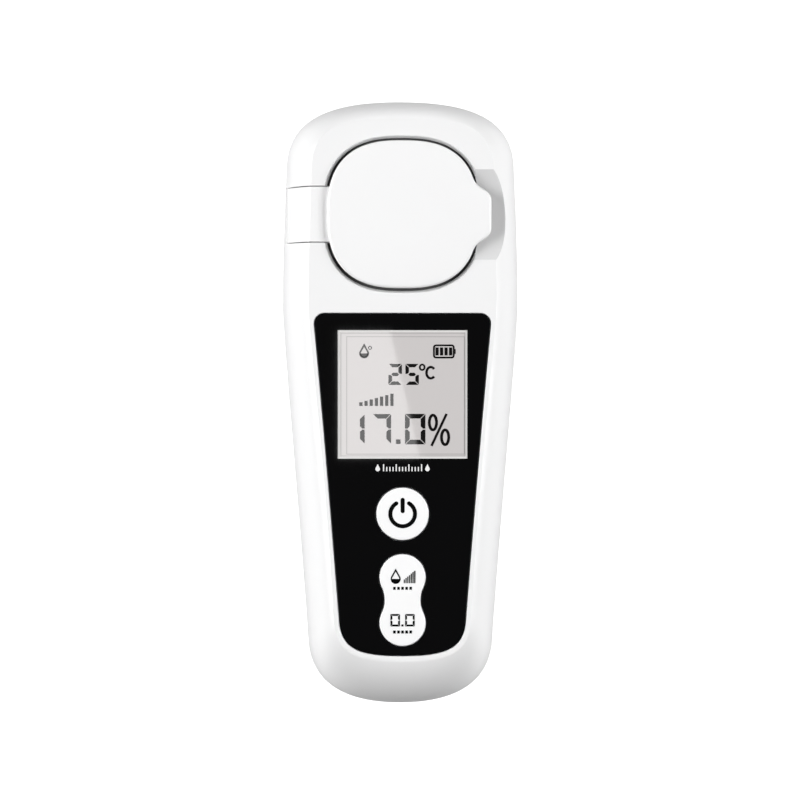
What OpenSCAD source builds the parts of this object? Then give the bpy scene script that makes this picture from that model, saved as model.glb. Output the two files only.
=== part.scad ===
// Hand-held digital refractometer: a white two-part case with a flat face, a flip lid over a
// steel sample dish, a black display panel with two keys, and a sliding battery door.
// The meter lies on its back. +Z comes out of the face, +Y points to the sample end, and +X is
// to the right of someone who reads the display. The origin is on the back plane, at the
// centre of the body. All sizes are in millimetres.

/* [Body] */
// Overall length
body_length = 135; // [132:1:165]
// Overall width at the widest place
body_width = 52.8; // [51:0.2:64]
// Height of the flat face above the back plane
face_height = 27; // [26.5:0.5:32]
// Height of the plane where the case halves meet
parting_height = 13.5; // [13.5:0.1:14]
// Thickness of the case side walls
side_wall = 2.2; // [2:0.1:2.4]
// Thickness of the wall behind the flat face
face_wall = 2.4; // [2.2:0.1:2.8]
// Thickness of the wall at the back
back_wall = 2.2; // [2:0.1:2.6]
// Rounding of the back edge, measured in plan
back_round = 7.6; // [6:0.2:8.5]
// Angle of the crease between the face and the sides
crease_angle = 25; // [0:1:35]

/* [Sample well and lid] */
// Distance from the sample end of the body to the centre of the well
well_from_end = 25.9; // [25:0.1:30]
// Width of the lid disc
lid_width = 33.3; // [32.5:0.1:34]
// Length of the lid disc
lid_length = 32.7; // [32:0.1:33.5]
// Roundness exponent of the lid outline, where 2 is an ellipse
lid_power = 2.6; // [2.2:0.1:3.2]
// Gap between the lid disc and its pocket
lid_gap = 0.45; // [0.35:0.05:0.7]
// Height of the lid's centre above the face
lid_rise = 1.4; // [1.2:0.1:2]
// Depth of the pocket that the lid closes into
pocket_depth = 0.6; // [0.5:0.05:0.7]
// Width of the finger tab
tab_width = 7.2; // [6:0.2:9]
// How far the tab stands out past the disc
tab_reach = 3; // [2:0.1:3.5]
// Width of the hinge arm
arm_width = 12.1; // [10:0.1:14]
// Diameter of the hinge pin
hinge_pin_d = 2; // [1.6:0.1:2.6]
// Length of the hinge pin
hinge_pin_length = 18.4; // [18:0.2:20]
// Largest opening angle of the lid
lid_open_angle = 100; // [80:1:105]
// Depth of the finger scoop beside the tab
scoop_depth = 2.6; // [1.5:0.1:2.8]
// Width of the finger scoop along the body
scoop_width = 20; // [16:0.5:22]
// Inner diameter of the sample dish at its rim
dish_d = 25.6; // [21:0.1:26]
// Diameter of the glass window at the bottom of the dish
prism_window_d = 10.4; // [8:0.1:11]
// Thickness of the dish metal
dish_wall = 0.8; // [0.6:0.1:1]

/* [Display and keys] */
// Depth of the recess that holds the black panel
panel_depth = 1.2; // [1:0.1:1.4]
// Width of the display window
window_width = 28.7; // [24:0.1:29]
// Length of the display window
window_length = 28.4; // [24:0.1:29]
// Diameter of the round key
power_key_d = 11.6; // [9:0.1:14.2]
// Travel of the round key
power_key_travel = 0.5; // [0.3:0.1:0.6]
// Diameter of each end of the rocker key
rocker_end_d = 10.2; // [9:0.1:11]
// Distance between the two ends of the rocker key
rocker_spacing = 10.1; // [9:0.1:11]
// Width of the rocker key's waist
rocker_waist = 7.9; // [7:0.1:8.6]
// Height of the key tops above the face
key_rise = 0.5; // [0.3:0.1:0.9]

/* [Battery bay] */
// Diameter of one cell
cell_d = 10.4; // [10:0.1:10.6]
// Length of one cell with its contact button
cell_length = 44.5; // [43.5:0.1:44.6]
// Length of the bay
bay_length = 49; // [48.8:0.1:50]
// Thickness of the battery door
door_thickness = 1.8; // [1.6:0.1:2]

/* [Fasteners and fits] */
// Thread diameter of the case screws
case_screw_d = 2.5; // [2:0.1:2.8]
// Thread diameter of the small screws
small_screw_d = 2; // [1.6:0.1:2.2]
// Gap around a part that is seated in another
seat_gap = 0.1; // [0.05:0.05:0.15]
// Gap around a part that moves
moving_gap = 0.25; // [0.2:0.05:0.35]
// Radial gap around a pin or a thread
pin_gap = 0.05; // [0.03:0.01:0.08]
// Thickness of the circuit boards
board_thickness = 1.6; // [1.2:0.1:1.6]

/* [Hidden] */
$fn = 64;

half_l = body_length / 2;
half_w = body_width / 2;
eps = 0.01;

// ---- Plan outlines -------------------------------------------------------------------------
// An outline starts at the middle of the sample end and runs clockwise, seen from above. Its
// right half is four cubic curves: end, shoulder, flank and chin.
end_steps = 14;
shoulder_steps = 7;
flank_steps = 10;
chin_steps = 14;

function curve(p, n) = [for (i = [0:n - 1]) let (t = i / n, u = 1 - t)
    u * u * u * p[0] + 3 * u * u * t * p[1] + 3 * u * t * t * p[2] + t * t * t * p[3]];
function flip(half) = [for (i = [len(half) - 2:-1:1]) [-half[i].x, half[i].y]];
function half_outline(end, shoulder, flank, chin) = concat(curve(end, end_steps),
    curve(shoulder, shoulder_steps), curve(flank, flank_steps), curve(chin, chin_steps),
    [chin[3]]);
function closed_outline(half) = concat(half, flip(half));

// Widest outline of the body, in the parting plane
shoulder_pt = [half_w - 0.85, half_l - 14.3];
widest_pt = [half_w, half_l - 46.6];
chin_pt = [half_w - 5.7, -half_l + 14.2];
shoulder_run = [0.045, -1];
chin_run = [-0.061, -1];
body_outline = closed_outline(half_outline(
    [[0, half_l], [half_w - 12.4, half_l], shoulder_pt - 11.5 * shoulder_run, shoulder_pt],
    [shoulder_pt, shoulder_pt + 12.7 * shoulder_run, widest_pt + [0, 12.7], widest_pt],
    [widest_pt, widest_pt - [0, 6], chin_pt - 17.9 * chin_run, chin_pt],
    [chin_pt, chin_pt + 5.6 * chin_run, [half_w - 9, -half_l], [0, -half_l]]));

// Outline of the flat face
face_shoulder = [half_w - 6.26, half_l - 16.5];
face_widest = [half_w - 5.6, half_l - 44.8];
face_chin = [half_w - 11.2, -half_l + 20];
face_bottom = -half_l + 10.5;
face_outline = closed_outline(half_outline(
    [[0, half_l - 5], [half_w - 14, half_l - 5], face_shoulder + [0, 11.2], face_shoulder],
    [face_shoulder, face_shoulder + [0.3, -12], face_widest + [0, 11.5], face_widest],
    [face_widest, face_widest - [0, 8.8], face_chin + [2.2, 38.4], face_chin],
    [face_chin, face_chin - [0.45, 7.9], [half_w - 16.5, face_bottom], [0, face_bottom]]));

// Share of the crease at each outline point: none at the sample end, all of it on the sides
chin_crease = 0.8;
function ease(t) = t * t * (3 - 2 * t);
crease_half = concat([for (i = [0:end_steps - 1]) ease(i / end_steps)],
    [for (i = [1:shoulder_steps + flank_steps]) 1],
    [for (i = [0:chin_steps]) 1 - (1 - chin_crease) * ease(i / chin_steps)]);
crease_share = concat(crease_half,
    [for (i = [len(crease_half) - 2:-1:1]) crease_half[i]]);

// Moves every point of a clockwise outline inwards by d
function inset(pts, d) = let (n = len(pts)) [for (i = [0:n - 1])
    let (run = pts[(i + 1) % n] - pts[(i + n - 1) % n], len_run = norm(run))
    pts[i] + d * [run.y, -run.x] / len_run];
function scaled(pts, fx, fy) = [for (p = pts) [p.x * fx, p.y * fy]];

// Superellipse, clockwise from the top
function signed_power(v, e) = sign(v) * pow(abs(v), e);
function lid_outline(grow, n = 64) = [for (i = [0:n - 1]) let (a = 90 - i * 360 / n)
    [(lid_width / 2 + grow) * signed_power(cos(a), 2 / lid_power),
     well_y + (lid_length / 2 + grow) * signed_power(sin(a), 2 / lid_power)]];

// Closed solid through a stack of rings of [x, y, z] points
module loft(rings) {
    n = len(rings[0]);
    m = len(rings);
    sides = [for (j = [0:m - 2]) for (k = [0:n - 1]) let (a = j * n + k, b = j * n + (k + 1) % n)
        each [[a, b, b + n], [a, b + n, a + n]]];
    top = [for (k = [0:n - 1]) (m - 1) * n + k];
    bottom = concat([0], [for (k = [n - 1:-1:1]) k]);
    polyhedron([for (r = rings) each r], concat([top, bottom], sides));
}
function ring_at(pts, z) = [for (p = pts) [p.x, p.y, z]];

// Ring number j of m on the rounded side between two outlines, rising from z0 by rise
function side_ring(wide, narrow, z0, rise, crease, share) = [for (k = [0:len(wide) - 1])
    let (full = 90 - crease * crease_share[k], a = full * share,
        g = (1 - cos(a)) / (1 - cos(full)))
    [wide[k].x + (narrow[k].x - wide[k].x) * g, wide[k].y + (narrow[k].y - wide[k].y) * g,
     z0 + rise * sin(a) / sin(full)]];
module half_shell(wide, narrow, z0, rise, crease, m = 7) {
    rings = [for (j = [0:m]) side_ring(wide, narrow, z0, rise, crease, j / m)];
    loft(rise > 0 ? rings : [for (j = [m:-1:0]) rings[j]]);
}
back_outline = scaled(body_outline, 1 - back_round / half_w, 1 - back_round / half_l);
inner_outline = inset(body_outline, side_wall);
inner_back = scaled(body_outline, 1 - (back_round + 0.8) / half_w,
    1 - (back_round + 0.8) / half_l);
front_inside = face_height - face_wall;

// ---- Places and levels ---------------------------------------------------------------------
well_y = half_l - well_from_end;
pocket_floor = face_height - pocket_depth;
lid_bottom = pocket_floor + 0.1;
arm_underside = face_height - 1.8;
scoop_r = (pow(scoop_width / 2, 2) + pow(scoop_depth, 2)) / (2 * scoop_depth);

// Hinge
barrel_r = hinge_pin_d / 2 + 2.1;
hinge_x = -(half_w - 4);
hinge_z = parting_height + 5.1;
slot_width = arm_width + 2 * moving_gap;
slot_r = barrel_r + 0.5;

// Sample dish, measured from its rim down
dish_rim = face_height - 0.7;
dish_seat = dish_rim - dish_wall;
dish_bottom = face_height - 6.8;
dish_r = dish_d / 2;
flange_r = dish_r + 2;
gasket_height = 0.4;
prism_top = dish_bottom + 0.6;
prism_shoulder = dish_bottom - 0.6;

// Panel: its right side is a straight top corner, a side curve and a chin curve
panel_top = well_y - 21.9;
panel_tip = face_bottom + 1;
panel_top_half = half_w - 6.85;
panel_chin = [half_w - 12.4, panel_tip + 7.9];
panel_corner = 2.3;
panel_side = [panel_top_half, panel_top - panel_corner - 0.1];
panel_half = concat([[0, panel_top]],
    [for (i = [0:7]) let (a = 90 - i * 86 / 7) [panel_top_half - panel_corner, panel_side.y]
        + [panel_corner * cos(a), panel_corner * sin(a) + 0.1]],
    curve([panel_side, panel_side - [1.92, 20], panel_chin + [1.54, 20], panel_chin], 10),
    curve([panel_chin, panel_chin - [0.4, 6.5], [half_w - 17, panel_tip], [0, panel_tip]], 12),
    [[0, panel_tip]]);
panel_outline = closed_outline(panel_half);
panel_floor = face_height - panel_depth;

// Display stack, from the face wall down to the board
window_y = panel_top - 17.9;
board_top = front_inside - 6;
board_bottom = board_top - board_thickness;
holder_width = window_width + 4.9;
holder_length = window_length + 8.4;
holder_height = 2.8;
glass_bottom = board_top + holder_height;
glass_height = 2.8;

// Keys
power_y = panel_tip + 31.4;
rocker_y = panel_tip + 12.35;
rocker_axis_z = front_inside - 1.3;
rocker_end_r = rocker_end_d / 2;
rocker_half = rocker_spacing / 2;
rocker_neck_r = (pow(rocker_end_r, 2) - pow(rocker_half, 2) - pow(rocker_waist / 2, 2))
    / (rocker_waist - rocker_end_d);
key_flange = 0.8;
rocker_axle_r = 0.7;
rocker_axle_half = rocker_waist / 2 + key_flange + 1.4;
mat_top = front_inside - 1.8;
mat_base = 0.8;

// Main board
board_end = well_y - 13.6;
board_chin = -half_l + 10.5;
board_post_upper = [11, well_y - 17.1];
board_post_lower = [13, power_y + 5.1];

// Case screws
screw_upper = [half_w - 9.3, half_l - 12.5];
screw_lower = [half_w - 9.2, -half_l + 23.5];
screw_seat = 5;
screw_length = 12;
case_boss_r = case_screw_d / 2 + 1.7;
head_r = case_screw_d * 0.92;

// Battery bay
cell_r = cell_d / 2;
cell_z = back_wall + 0.2 + cell_r;
cell_x = cell_r + 0.2;
bay_half = 2 * cell_r + 0.9;
bay_bottom = -half_l + 12;
bay_top = bay_bottom + bay_length;
bay_ceiling = cell_z + cell_r + 0.3;
bay_wall = 1.2;
door_half = bay_half + 1.1;
rail = 1;
rail_height = 0.8;
door_end = bay_top + 1.5;
grip_count = 6;
grip_pitch = 1.8;
grip_half = 7;

// Rating label
label_half = [15, 8];
label_depth = 0.3;
label_y = door_end + 14;

// Optics under the dish
optics_half = 13;
optics_length = 18;
optics_top = dish_bottom - 1;
optics_foot = 4;
beam_z = 12;
beam_r = 3;
prism_base = beam_z - 3.4;
small_boss_r = small_screw_d / 2 + 1.2;

// ---- Shared shapes -------------------------------------------------------------------------
module at_corners(p) {
    for (side = [-1, 1]) translate([side * p.x, p.y, 0]) children();
}
module rod_y(x, z, y0, y1, r) {
    translate([x, y0, z]) rotate([-90, 0, 0]) cylinder(h = y1 - y0, r = r);
}
module rod_x(y, z, x0, x1, r) {
    translate([x0, y, z]) rotate([0, 90, 0]) cylinder(h = x1 - x0, r = r);
}
module block(x0, x1, y0, y1, z0, z1) {
    translate([x0, y0, z0]) cube([x1 - x0, y1 - y0, z1 - z0]);
}
module slab(pts, z0, z1) {
    translate([0, 0, z0]) linear_extrude(z1 - z0) polygon(pts);
}
// Profile in the XZ plane, extruded along Y
module across(pts, y0, y1) {
    translate([0, y1, 0]) rotate([90, 0, 0]) linear_extrude(y1 - y0) polygon(pts);
}
module disc(d, z0, z1) {
    translate([0, 0, z0]) cylinder(h = z1 - z0, d = d);
}
// Pan-head screw that points up, with its head below z
module screw(d, head_d, head_h, length, z, drive) {
    difference() {
        union() {
            disc(head_d, z - head_h, z);
            disc(d, z - head_h / 2, z + length);
        }
        for (a = [0, 90]) rotate(a)
            block(-head_d * 0.34, head_d * 0.34, -drive / 2, drive / 2, z - head_h - eps,
                z - head_h * 0.45);
    }
}
// Rocker plan shape, grown by g
module rocker_plan(g) {
    far = rocker_waist / 2 + rocker_neck_r;
    reach = norm([far, rocker_half]);
    touch = [0, rocker_half] + rocker_end_r / reach * [far, -rocker_half];
    for (s = [-1, 1]) translate([0, s * rocker_half]) circle(r = rocker_end_r + g);
    difference() {
        square([2 * touch.x, 2 * touch.y], center = true);
        for (s = [-1, 1]) translate([s * far, 0]) circle(r = rocker_neck_r - g);
    }
}

// ---- Case ----------------------------------------------------------------------------------
module front_outside() {
    half_shell(body_outline, face_outline, parting_height, face_height - parting_height,
        crease_angle);
}
module hinge_slot() {
    pivot = [hinge_x, hinge_z];
    down = 90 - lid_open_angle;
    ramp = [cos(180 - down), -sin(180 - down)];
    start = pivot + slot_r * [-ramp.y, ramp.x];
    wall_x = hinge_x + 2.4;
    across([start, start + 9 * ramp, [hinge_x - 9, face_height + 2],
        [-flange_r - 0.5, face_height + 2], [-flange_r - 0.5, arm_underside - 0.3],
        [wall_x, arm_underside - 0.3], [wall_x, hinge_z], pivot],
        well_y - slot_width / 2, well_y + slot_width / 2);
    rod_y(hinge_x, hinge_z, well_y - slot_width / 2, well_y + slot_width / 2, slot_r);
}
// Solid regions that stay inside the front half
module front_inner_bodies() {
    slab(lid_outline(lid_gap + 1.8), front_inside - 1.8, face_height);
    block(lid_width / 2 - 3, half_w, well_y - scoop_width / 2 - 2, well_y + scoop_width / 2 + 2,
        front_inside - 1.8, face_height);
    block(-half_w, hinge_x + 5.6, well_y - hinge_pin_length / 2 - 1.4,
        well_y + hinge_pin_length / 2 + 1.4, parting_height - eps, face_height);
    for (p = [screw_upper, screw_lower]) at_corners(p)
        disc(2 * case_boss_r, parting_height - eps, face_height);
    for (p = [board_post_upper, board_post_lower]) at_corners(p)
        disc(2 * small_boss_r, board_top, face_height);
    for (s = [-1, 1]) translate([s * (rocker_waist / 2 + key_flange + 1.1), rocker_y, 0])
        block(-0.7, 0.7, -1.7, 1.7, rocker_axis_z - 1.6, face_height);
}
module front_case() {
    color("white") difference() {
        front_outside();
        difference() {
            half_shell(inner_outline, inset(face_outline, 1.2), parting_height - 0.02,
                front_inside - parting_height + 0.02, crease_angle);
            front_inner_bodies();
        }
        slab(inset(panel_outline, -seat_gap), panel_floor, face_height + 1);
        translate([0, window_y, 0]) block(-window_width / 2 - 0.4, window_width / 2 + 0.4,
            -window_length / 2 - 0.4, window_length / 2 + 0.4, front_inside - 1, face_height);
        translate([0, power_y, 0]) disc(power_key_d + 2 * moving_gap, front_inside - 1,
            face_height);
        translate([0, rocker_y, front_inside - 1]) linear_extrude(face_wall)
            rocker_plan(moving_gap);
        rod_x(rocker_y, rocker_axis_z, -rocker_axle_half - seat_gap,
            rocker_axle_half + seat_gap, rocker_axle_r + pin_gap);
        slab(lid_outline(lid_gap), pocket_floor, face_height + 1);
        loft([ring_at(lid_outline(lid_gap - 0.1), face_height - 0.6),
            ring_at(lid_outline(lid_gap + 0.6), face_height + 0.1)]);
        translate([0, well_y, 0]) disc(2 * (flange_r + seat_gap), dish_seat - gasket_height,
            face_height);
        translate([0, well_y, 0]) disc(2 * (dish_r + dish_wall + 0.3), front_inside - 4,
            face_height);
        difference() {
            rod_x(well_y, face_height + scoop_r - scoop_depth, lid_width / 2 - 3, half_w + 5,
                scoop_r);
            slab(lid_outline(lid_gap), 0, face_height + 9);
        }
        hinge_slot();
        rod_y(hinge_x, hinge_z, well_y - hinge_pin_length / 2, well_y + hinge_pin_length / 2,
            hinge_pin_d / 2 + pin_gap);
        for (p = [screw_upper, screw_lower]) at_corners(p)
            disc(case_screw_d + 2 * pin_gap, parting_height - 1,
                screw_seat + screw_length + 0.5);
        for (p = [board_post_upper, board_post_lower]) at_corners(p)
            disc(small_screw_d + 2 * pin_gap, board_top - 1, board_top + 3.6);
        seal_ring(0.05);
    }
}
// Ring in the parting plane, half in each case half, grown by g
module seal_ring(g) {
    translate([0, 0, parting_height - 0.4 - g]) linear_extrude(0.8 + 2 * g) difference() {
        polygon(inset(body_outline, 0.7 - g));
        polygon(inset(body_outline, 1.5 + g));
    }
}
module case_seal() {
    color("dimgray") seal_ring(0);
}
module rear_outside() {
    half_shell(body_outline, back_outline, parting_height, -parting_height, 0);
}
module rear_inner_bodies() {
    for (p = [screw_upper, screw_lower]) at_corners(p)
        disc(2 * case_boss_r + 1.2, 0, parting_height);
    block(-door_half - rail - 1.2, door_half + rail + 1.2, -half_l, door_end + 2, 0,
        door_thickness + 1.5);
    block(-bay_half - bay_wall, bay_half + bay_wall, bay_bottom - bay_wall, bay_top + bay_wall,
        0, parting_height);
    for (s = [-1, 1]) translate([s * (optics_half + 2.4), well_y, 0])
        disc(2 * small_boss_r, 0, optics_foot);
}
module door_tunnel() {
    block(-door_half - seat_gap, door_half + seat_gap, -half_l - 1, door_end + seat_gap, -1,
        door_thickness + seat_gap);
    block(-door_half - rail - seat_gap, door_half + rail + seat_gap, -half_l - 1,
        door_end + seat_gap, door_thickness - rail_height - seat_gap,
        door_thickness + seat_gap);
}
// Rating label, grown by g in plan, from level z0 up into the back wall
module label_plate(g, z0) {
    translate([0, label_y, 0]) block(-label_half.x - g, label_half.x + g, -label_half.y - g,
        label_half.y + g, z0, label_depth);
}
module rear_case() {
    color("white") difference() {
        union() {
            difference() {
                rear_outside();
                difference() {
                    half_shell(inner_outline, inner_back, parting_height + 0.02,
                        back_wall - parting_height - 0.02, 0);
                    rear_inner_bodies();
                }
            }
            block(-bay_half - bay_wall, bay_half + bay_wall, bay_bottom - bay_wall,
                bay_top + bay_wall, parting_height - 1, bay_ceiling + bay_wall);
        }
        block(-bay_half, bay_half, bay_bottom, bay_top, -1, bay_ceiling);
        for (s = [-1, 1]) block(s * cell_x - 1.8, s * cell_x + 1.8, bay_top - 0.9, bay_top,
            bay_ceiling - 1, bay_ceiling + 2);
        door_tunnel();
        for (p = [screw_upper, screw_lower]) at_corners(p) {
            disc(2 * (head_r + 0.3), -1, screw_seat);
            disc(case_screw_d + 0.4, 0, parting_height + 1);
        }
        for (s = [-1, 1]) translate([s * (optics_half + 2.4), well_y, 0])
            disc(small_screw_d + 2 * pin_gap, 1.2, optics_foot + 1);
        label_plate(seat_gap, -1);
        seal_ring(0.05);
    }
}
module rating_label() {
    color("silver") label_plate(0, 0.08);
}
module case_screws() {
    color("silver") for (p = [screw_upper, screw_lower]) at_corners(p)
        screw(case_screw_d, 2 * head_r, 1.6, screw_length, screw_seat, 0.8);
}

// ---- Battery bay ---------------------------------------------------------------------------
module battery_door() {
    color("white") difference() {
        union() {
            intersection() {
                rear_outside();
                block(-door_half, door_half, -half_l, door_end, 0, door_thickness);
            }
            block(-door_half - rail, door_half + rail, bay_bottom - 1, door_end,
                door_thickness - rail_height, door_thickness);
        }
        for (i = [0:grip_count - 1])
            rod_x(bay_bottom + 2.5 + i * grip_pitch, -0.25, -grip_half, grip_half, 0.55);
    }
}
// Cell along +Y from its flat end at the origin
module cell() {
    rotate([-90, 0, 0]) rotate_extrude() polygon([[0, 0], [cell_r - 0.5, 0], [cell_r, 0.5],
        [cell_r, cell_length - 1.8], [cell_r - 0.6, cell_length - 1.2], [2, cell_length - 1.2],
        [1.8, cell_length], [0, cell_length]]);
}
plate_thickness = 0.4;
cell_gap = 0.1;
module battery_cells() {
    color("slategray") {
        translate([cell_x, bay_top - plate_thickness - cell_gap - cell_length, cell_z]) cell();
        translate([-cell_x, bay_bottom + plate_thickness + cell_gap + cell_length, cell_z])
            mirror([0, 1, 0]) cell();
    }
}
// Conical coil along +Y: wire radius w, from radius r0 to r1 over a length h
module coil(h, r0, r1, turns, w) {
    per_turn = 14;
    sides = 6;
    n = turns * per_turn;
    pts = [for (i = [0:n]) let (a = i * 360 / per_turn, r = r0 + (r1 - r0) * i / n,
        y = w + (h - 2 * w) * i / n)
        for (k = [0:sides - 1]) let (b = k * 360 / sides, q = r + w * cos(b))
        [q * cos(a), y + w * sin(b), q * sin(a)]];
    faces = [for (i = [0:n - 1]) for (k = [0:sides - 1])
        let (a = i * sides + k, b = i * sides + (k + 1) % sides)
        each [[a, b, b + sides], [a, b + sides, a + sides]]];
    polyhedron(pts, concat(faces, [[for (k = [sides - 1:-1:0]) k]],
        [[for (k = [0:sides - 1]) n * sides + k]]));
}
spring_length = bay_length - 2 * plate_thickness - 2 * cell_gap - cell_length;
module contact_springs() {
    color("silver") {
        translate([cell_x, bay_bottom + plate_thickness, cell_z])
            coil(spring_length, 4, 2.4, 4, 0.35);
        translate([-cell_x, bay_top - plate_thickness, cell_z]) mirror([0, 1, 0])
            coil(spring_length, 4, 2.4, 4, 0.35);
    }
}
module contact_plates() {
    color("silver") for (s = [-1, 1]) translate([s * cell_x, bay_top, 0]) {
        block(-4.4, 4.4, -plate_thickness, 0, back_wall + 0.8, bay_ceiling - 0.2);
        block(-1.4, 1.4, -plate_thickness, 0, bay_ceiling - 0.3, board_bottom);
    }
}
module battery_link() {
    color("silver") block(-bay_half + 0.6, bay_half - 0.6, bay_bottom,
        bay_bottom + plate_thickness, back_wall + 0.8, bay_ceiling - 0.2);
}

// ---- Lid -----------------------------------------------------------------------------------
module lid_disc() {
    edge = face_height + 0.55;
    peak = face_height + lid_rise;
    steps = 5;
    crown = [for (i = [0:steps]) let (a = 90 * i / steps)
        ring_at(lid_outline(-0.5 * (1 - cos(a))), edge + 0.35 * sin(a))];
    dome = [for (f = [0.75, 0.5, 0.25]) let (pts = lid_outline(-0.5))
        [for (p = pts) [p.x * f, well_y + (p.y - well_y) * f,
            peak - (peak - edge - 0.35) * f * f]]];
    loft(concat([ring_at(lid_outline(-0.25), lid_bottom), ring_at(lid_outline(0),
        lid_bottom + 0.25)], crown, dome));
}
module lid_tab() {
    edge_x = lid_width / 2 + tab_reach;
    root = lid_width / 2 - 1.5;
    half = tab_width / 2;
    slab([[root, well_y + half + 4.2], [lid_width / 2 - 0.2, well_y + half + 3.4],
        [edge_x - 1.4, well_y + half + 1.4], [edge_x - 0.4, well_y + half + 0.7],
        [edge_x, well_y + half], [edge_x, well_y - half],
        [edge_x - 0.4, well_y - half - 0.7], [edge_x - 1.4, well_y - half - 1.4],
        [lid_width / 2 - 0.2, well_y - half - 3.4], [root, well_y - half - 4.2]],
        lid_bottom, face_height + 0.5);
}
module lid() {
    pivot = [hinge_x, hinge_z];
    color("white") difference() {
        union() {
            lid_disc();
            lid_tab();
            intersection() {
                front_outside();
                across([pivot, [hinge_x - 9, hinge_z], [hinge_x - 9, face_height + 1],
                    [-lid_width / 2 + 4, face_height + 1], [-lid_width / 2 + 4, lid_bottom + 0.1],
                    [-flange_r - 0.75, lid_bottom + 0.1], [-flange_r - 0.75, arm_underside],
                    [hinge_x + 2.1, arm_underside], [hinge_x + 2.1, hinge_z + barrel_r - 1]],
                    well_y - arm_width / 2, well_y + arm_width / 2);
            }
            rod_y(hinge_x, hinge_z, well_y - arm_width / 2, well_y + arm_width / 2, barrel_r);
        }
        rod_y(hinge_x, hinge_z, well_y - arm_width, well_y + arm_width,
            hinge_pin_d / 2 + pin_gap);
    }
}
module lid_seal() {
    pad_r = dish_r - 1;
    color("lightgray") translate([0, well_y, 0]) rotate_extrude() polygon([
        [0, lid_bottom - 0.5], [pad_r - 2.2, lid_bottom - 0.5], [pad_r - 1.8, lid_bottom - 0.9],
        [pad_r - 0.6, lid_bottom - 0.9], [pad_r, lid_bottom - 0.3], [pad_r, lid_bottom],
        [0, lid_bottom]]);
}
module hinge_pin() {
    color("silver") rod_y(hinge_x, hinge_z, well_y - hinge_pin_length / 2 + 0.05,
        well_y + hinge_pin_length / 2 - 0.05, hinge_pin_d / 2);
}

// ---- Display and keys ----------------------------------------------------------------------
module display_panel() {
    color("black") difference() {
        slab(panel_outline, panel_floor, face_height - 0.05);
        translate([0, power_y, 0]) disc(power_key_d + 2 * moving_gap, panel_floor - 1,
            face_height + 1);
        translate([0, rocker_y, panel_floor - 1]) linear_extrude(panel_depth + 2)
            rocker_plan(moving_gap);
    }
}
module power_key() {
    r = power_key_d / 2;
    base = front_inside - 1.2;
    peak = face_height + key_rise;
    color("white") translate([0, power_y, 0]) rotate_extrude() polygon([
        [0, base - 0.5], [2.2, base - 0.5], [2.2, base], [r + key_flange, base],
        [r + key_flange, base + 1], [r, base + 1], [r, peak - 0.6], [r - 0.18, peak - 0.18],
        [r - 0.6, peak], [0, peak]]);
}
module rocker_key() {
    base = rocker_axis_z - 0.3;
    color("white") translate([0, rocker_y, 0]) {
        translate([0, 0, base]) linear_extrude(0.9) rocker_plan(key_flange);
        translate([0, 0, base]) linear_extrude(face_height + key_rise - 0.3 - base)
            rocker_plan(0);
        translate([0, 0, face_height]) linear_extrude(key_rise) rocker_plan(-0.3);
        rod_x(0, rocker_axis_z, -rocker_axle_half, rocker_axle_half, rocker_axle_r);
    }
}
key_points = [[0, power_y], [0, rocker_y + rocker_half], [0, rocker_y - rocker_half]];
module key_mat() {
    low = board_top + 0.02;
    color("gray") difference() {
        union() {
            block(-8.5, 8.5, rocker_y - rocker_half - 6.5, power_y + 6, low, low + mat_base);
            for (p = key_points) translate([p.x, p.y, 0])
                translate([0, 0, low]) cylinder(h = mat_top - low, r1 = 4.4, r2 = 2.9);
        }
        for (p = key_points) translate([p.x, p.y, low - 1])
            cylinder(h = mat_top - low + 0.1, r1 = 3.5, r2 = 2);
    }
}
module contact_pills() {
    color("black") for (p = key_points) translate([p.x, p.y, 0])
        disc(2.6, mat_top - 1.4, mat_top - 0.9);
}
module lcd_holder() {
    color("lightgray") translate([0, window_y, 0]) difference() {
        block(-holder_width / 2, holder_width / 2, -holder_length / 2, holder_length / 2,
            board_top, glass_bottom);
        block(-13.7, 13.7, -13.7, 13.7, board_top - 1, glass_bottom + 1);
        for (s = [-1, 1]) translate([0, s * (holder_length / 2 - 2.2), 0])
            block(-13.2, 13.2, -0.95, 0.95, board_top - 1, glass_bottom + 1);
    }
}
module zebra_strips() {
    color("dimgray") for (s = [-1, 1]) translate([0, window_y + s * (holder_length / 2 - 2.2), 0])
        block(-13, 13, -0.85, 0.85, board_top, glass_bottom);
}
module lcd_reflector() {
    color("silver") translate([0, window_y, 0])
        block(-13.5, 13.5, -13.5, 13.5, glass_bottom - 0.4, glass_bottom);
}
module lcd_glass() {
    color("lightsteelblue") translate([0, window_y, 0])
        block(-holder_width / 2 + 0.9, holder_width / 2 - 0.9, -holder_length / 2 + 0.6,
            holder_length / 2 - 0.6, glass_bottom, glass_bottom + glass_height);
}

// ---- Electronics ---------------------------------------------------------------------------
module main_board() {
    waist_y = screw_lower.y + 7;
    color("darkgreen") difference() {
        slab([[-half_w + 8, board_end], [half_w - 8, board_end], [half_w - 8, window_y - 8],
            [half_w - 11, waist_y + 2.6], [12.6, waist_y], [12.6, board_chin + 4],
            [9.6, board_chin], [-9.6, board_chin], [-12.6, board_chin + 4],
            [-12.6, waist_y], [-half_w + 11, waist_y + 2.6], [-half_w + 8, window_y - 8]],
            board_bottom, board_top);
        for (p = [board_post_upper, board_post_lower]) at_corners(p)
            disc(small_screw_d + 0.4, board_bottom - 1, board_top + 1);
    }
}
module board_screws() {
    color("silver") for (p = [board_post_upper, board_post_lower]) at_corners(p)
        screw(small_screw_d, small_screw_d * 1.8, 1.2, board_thickness + 3.4, board_bottom, 0.6);
}
module controller_chip() {
    color("black") block(-5, 5, window_y - 5, window_y + 5, board_bottom - 1.2, board_bottom);
}
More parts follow.
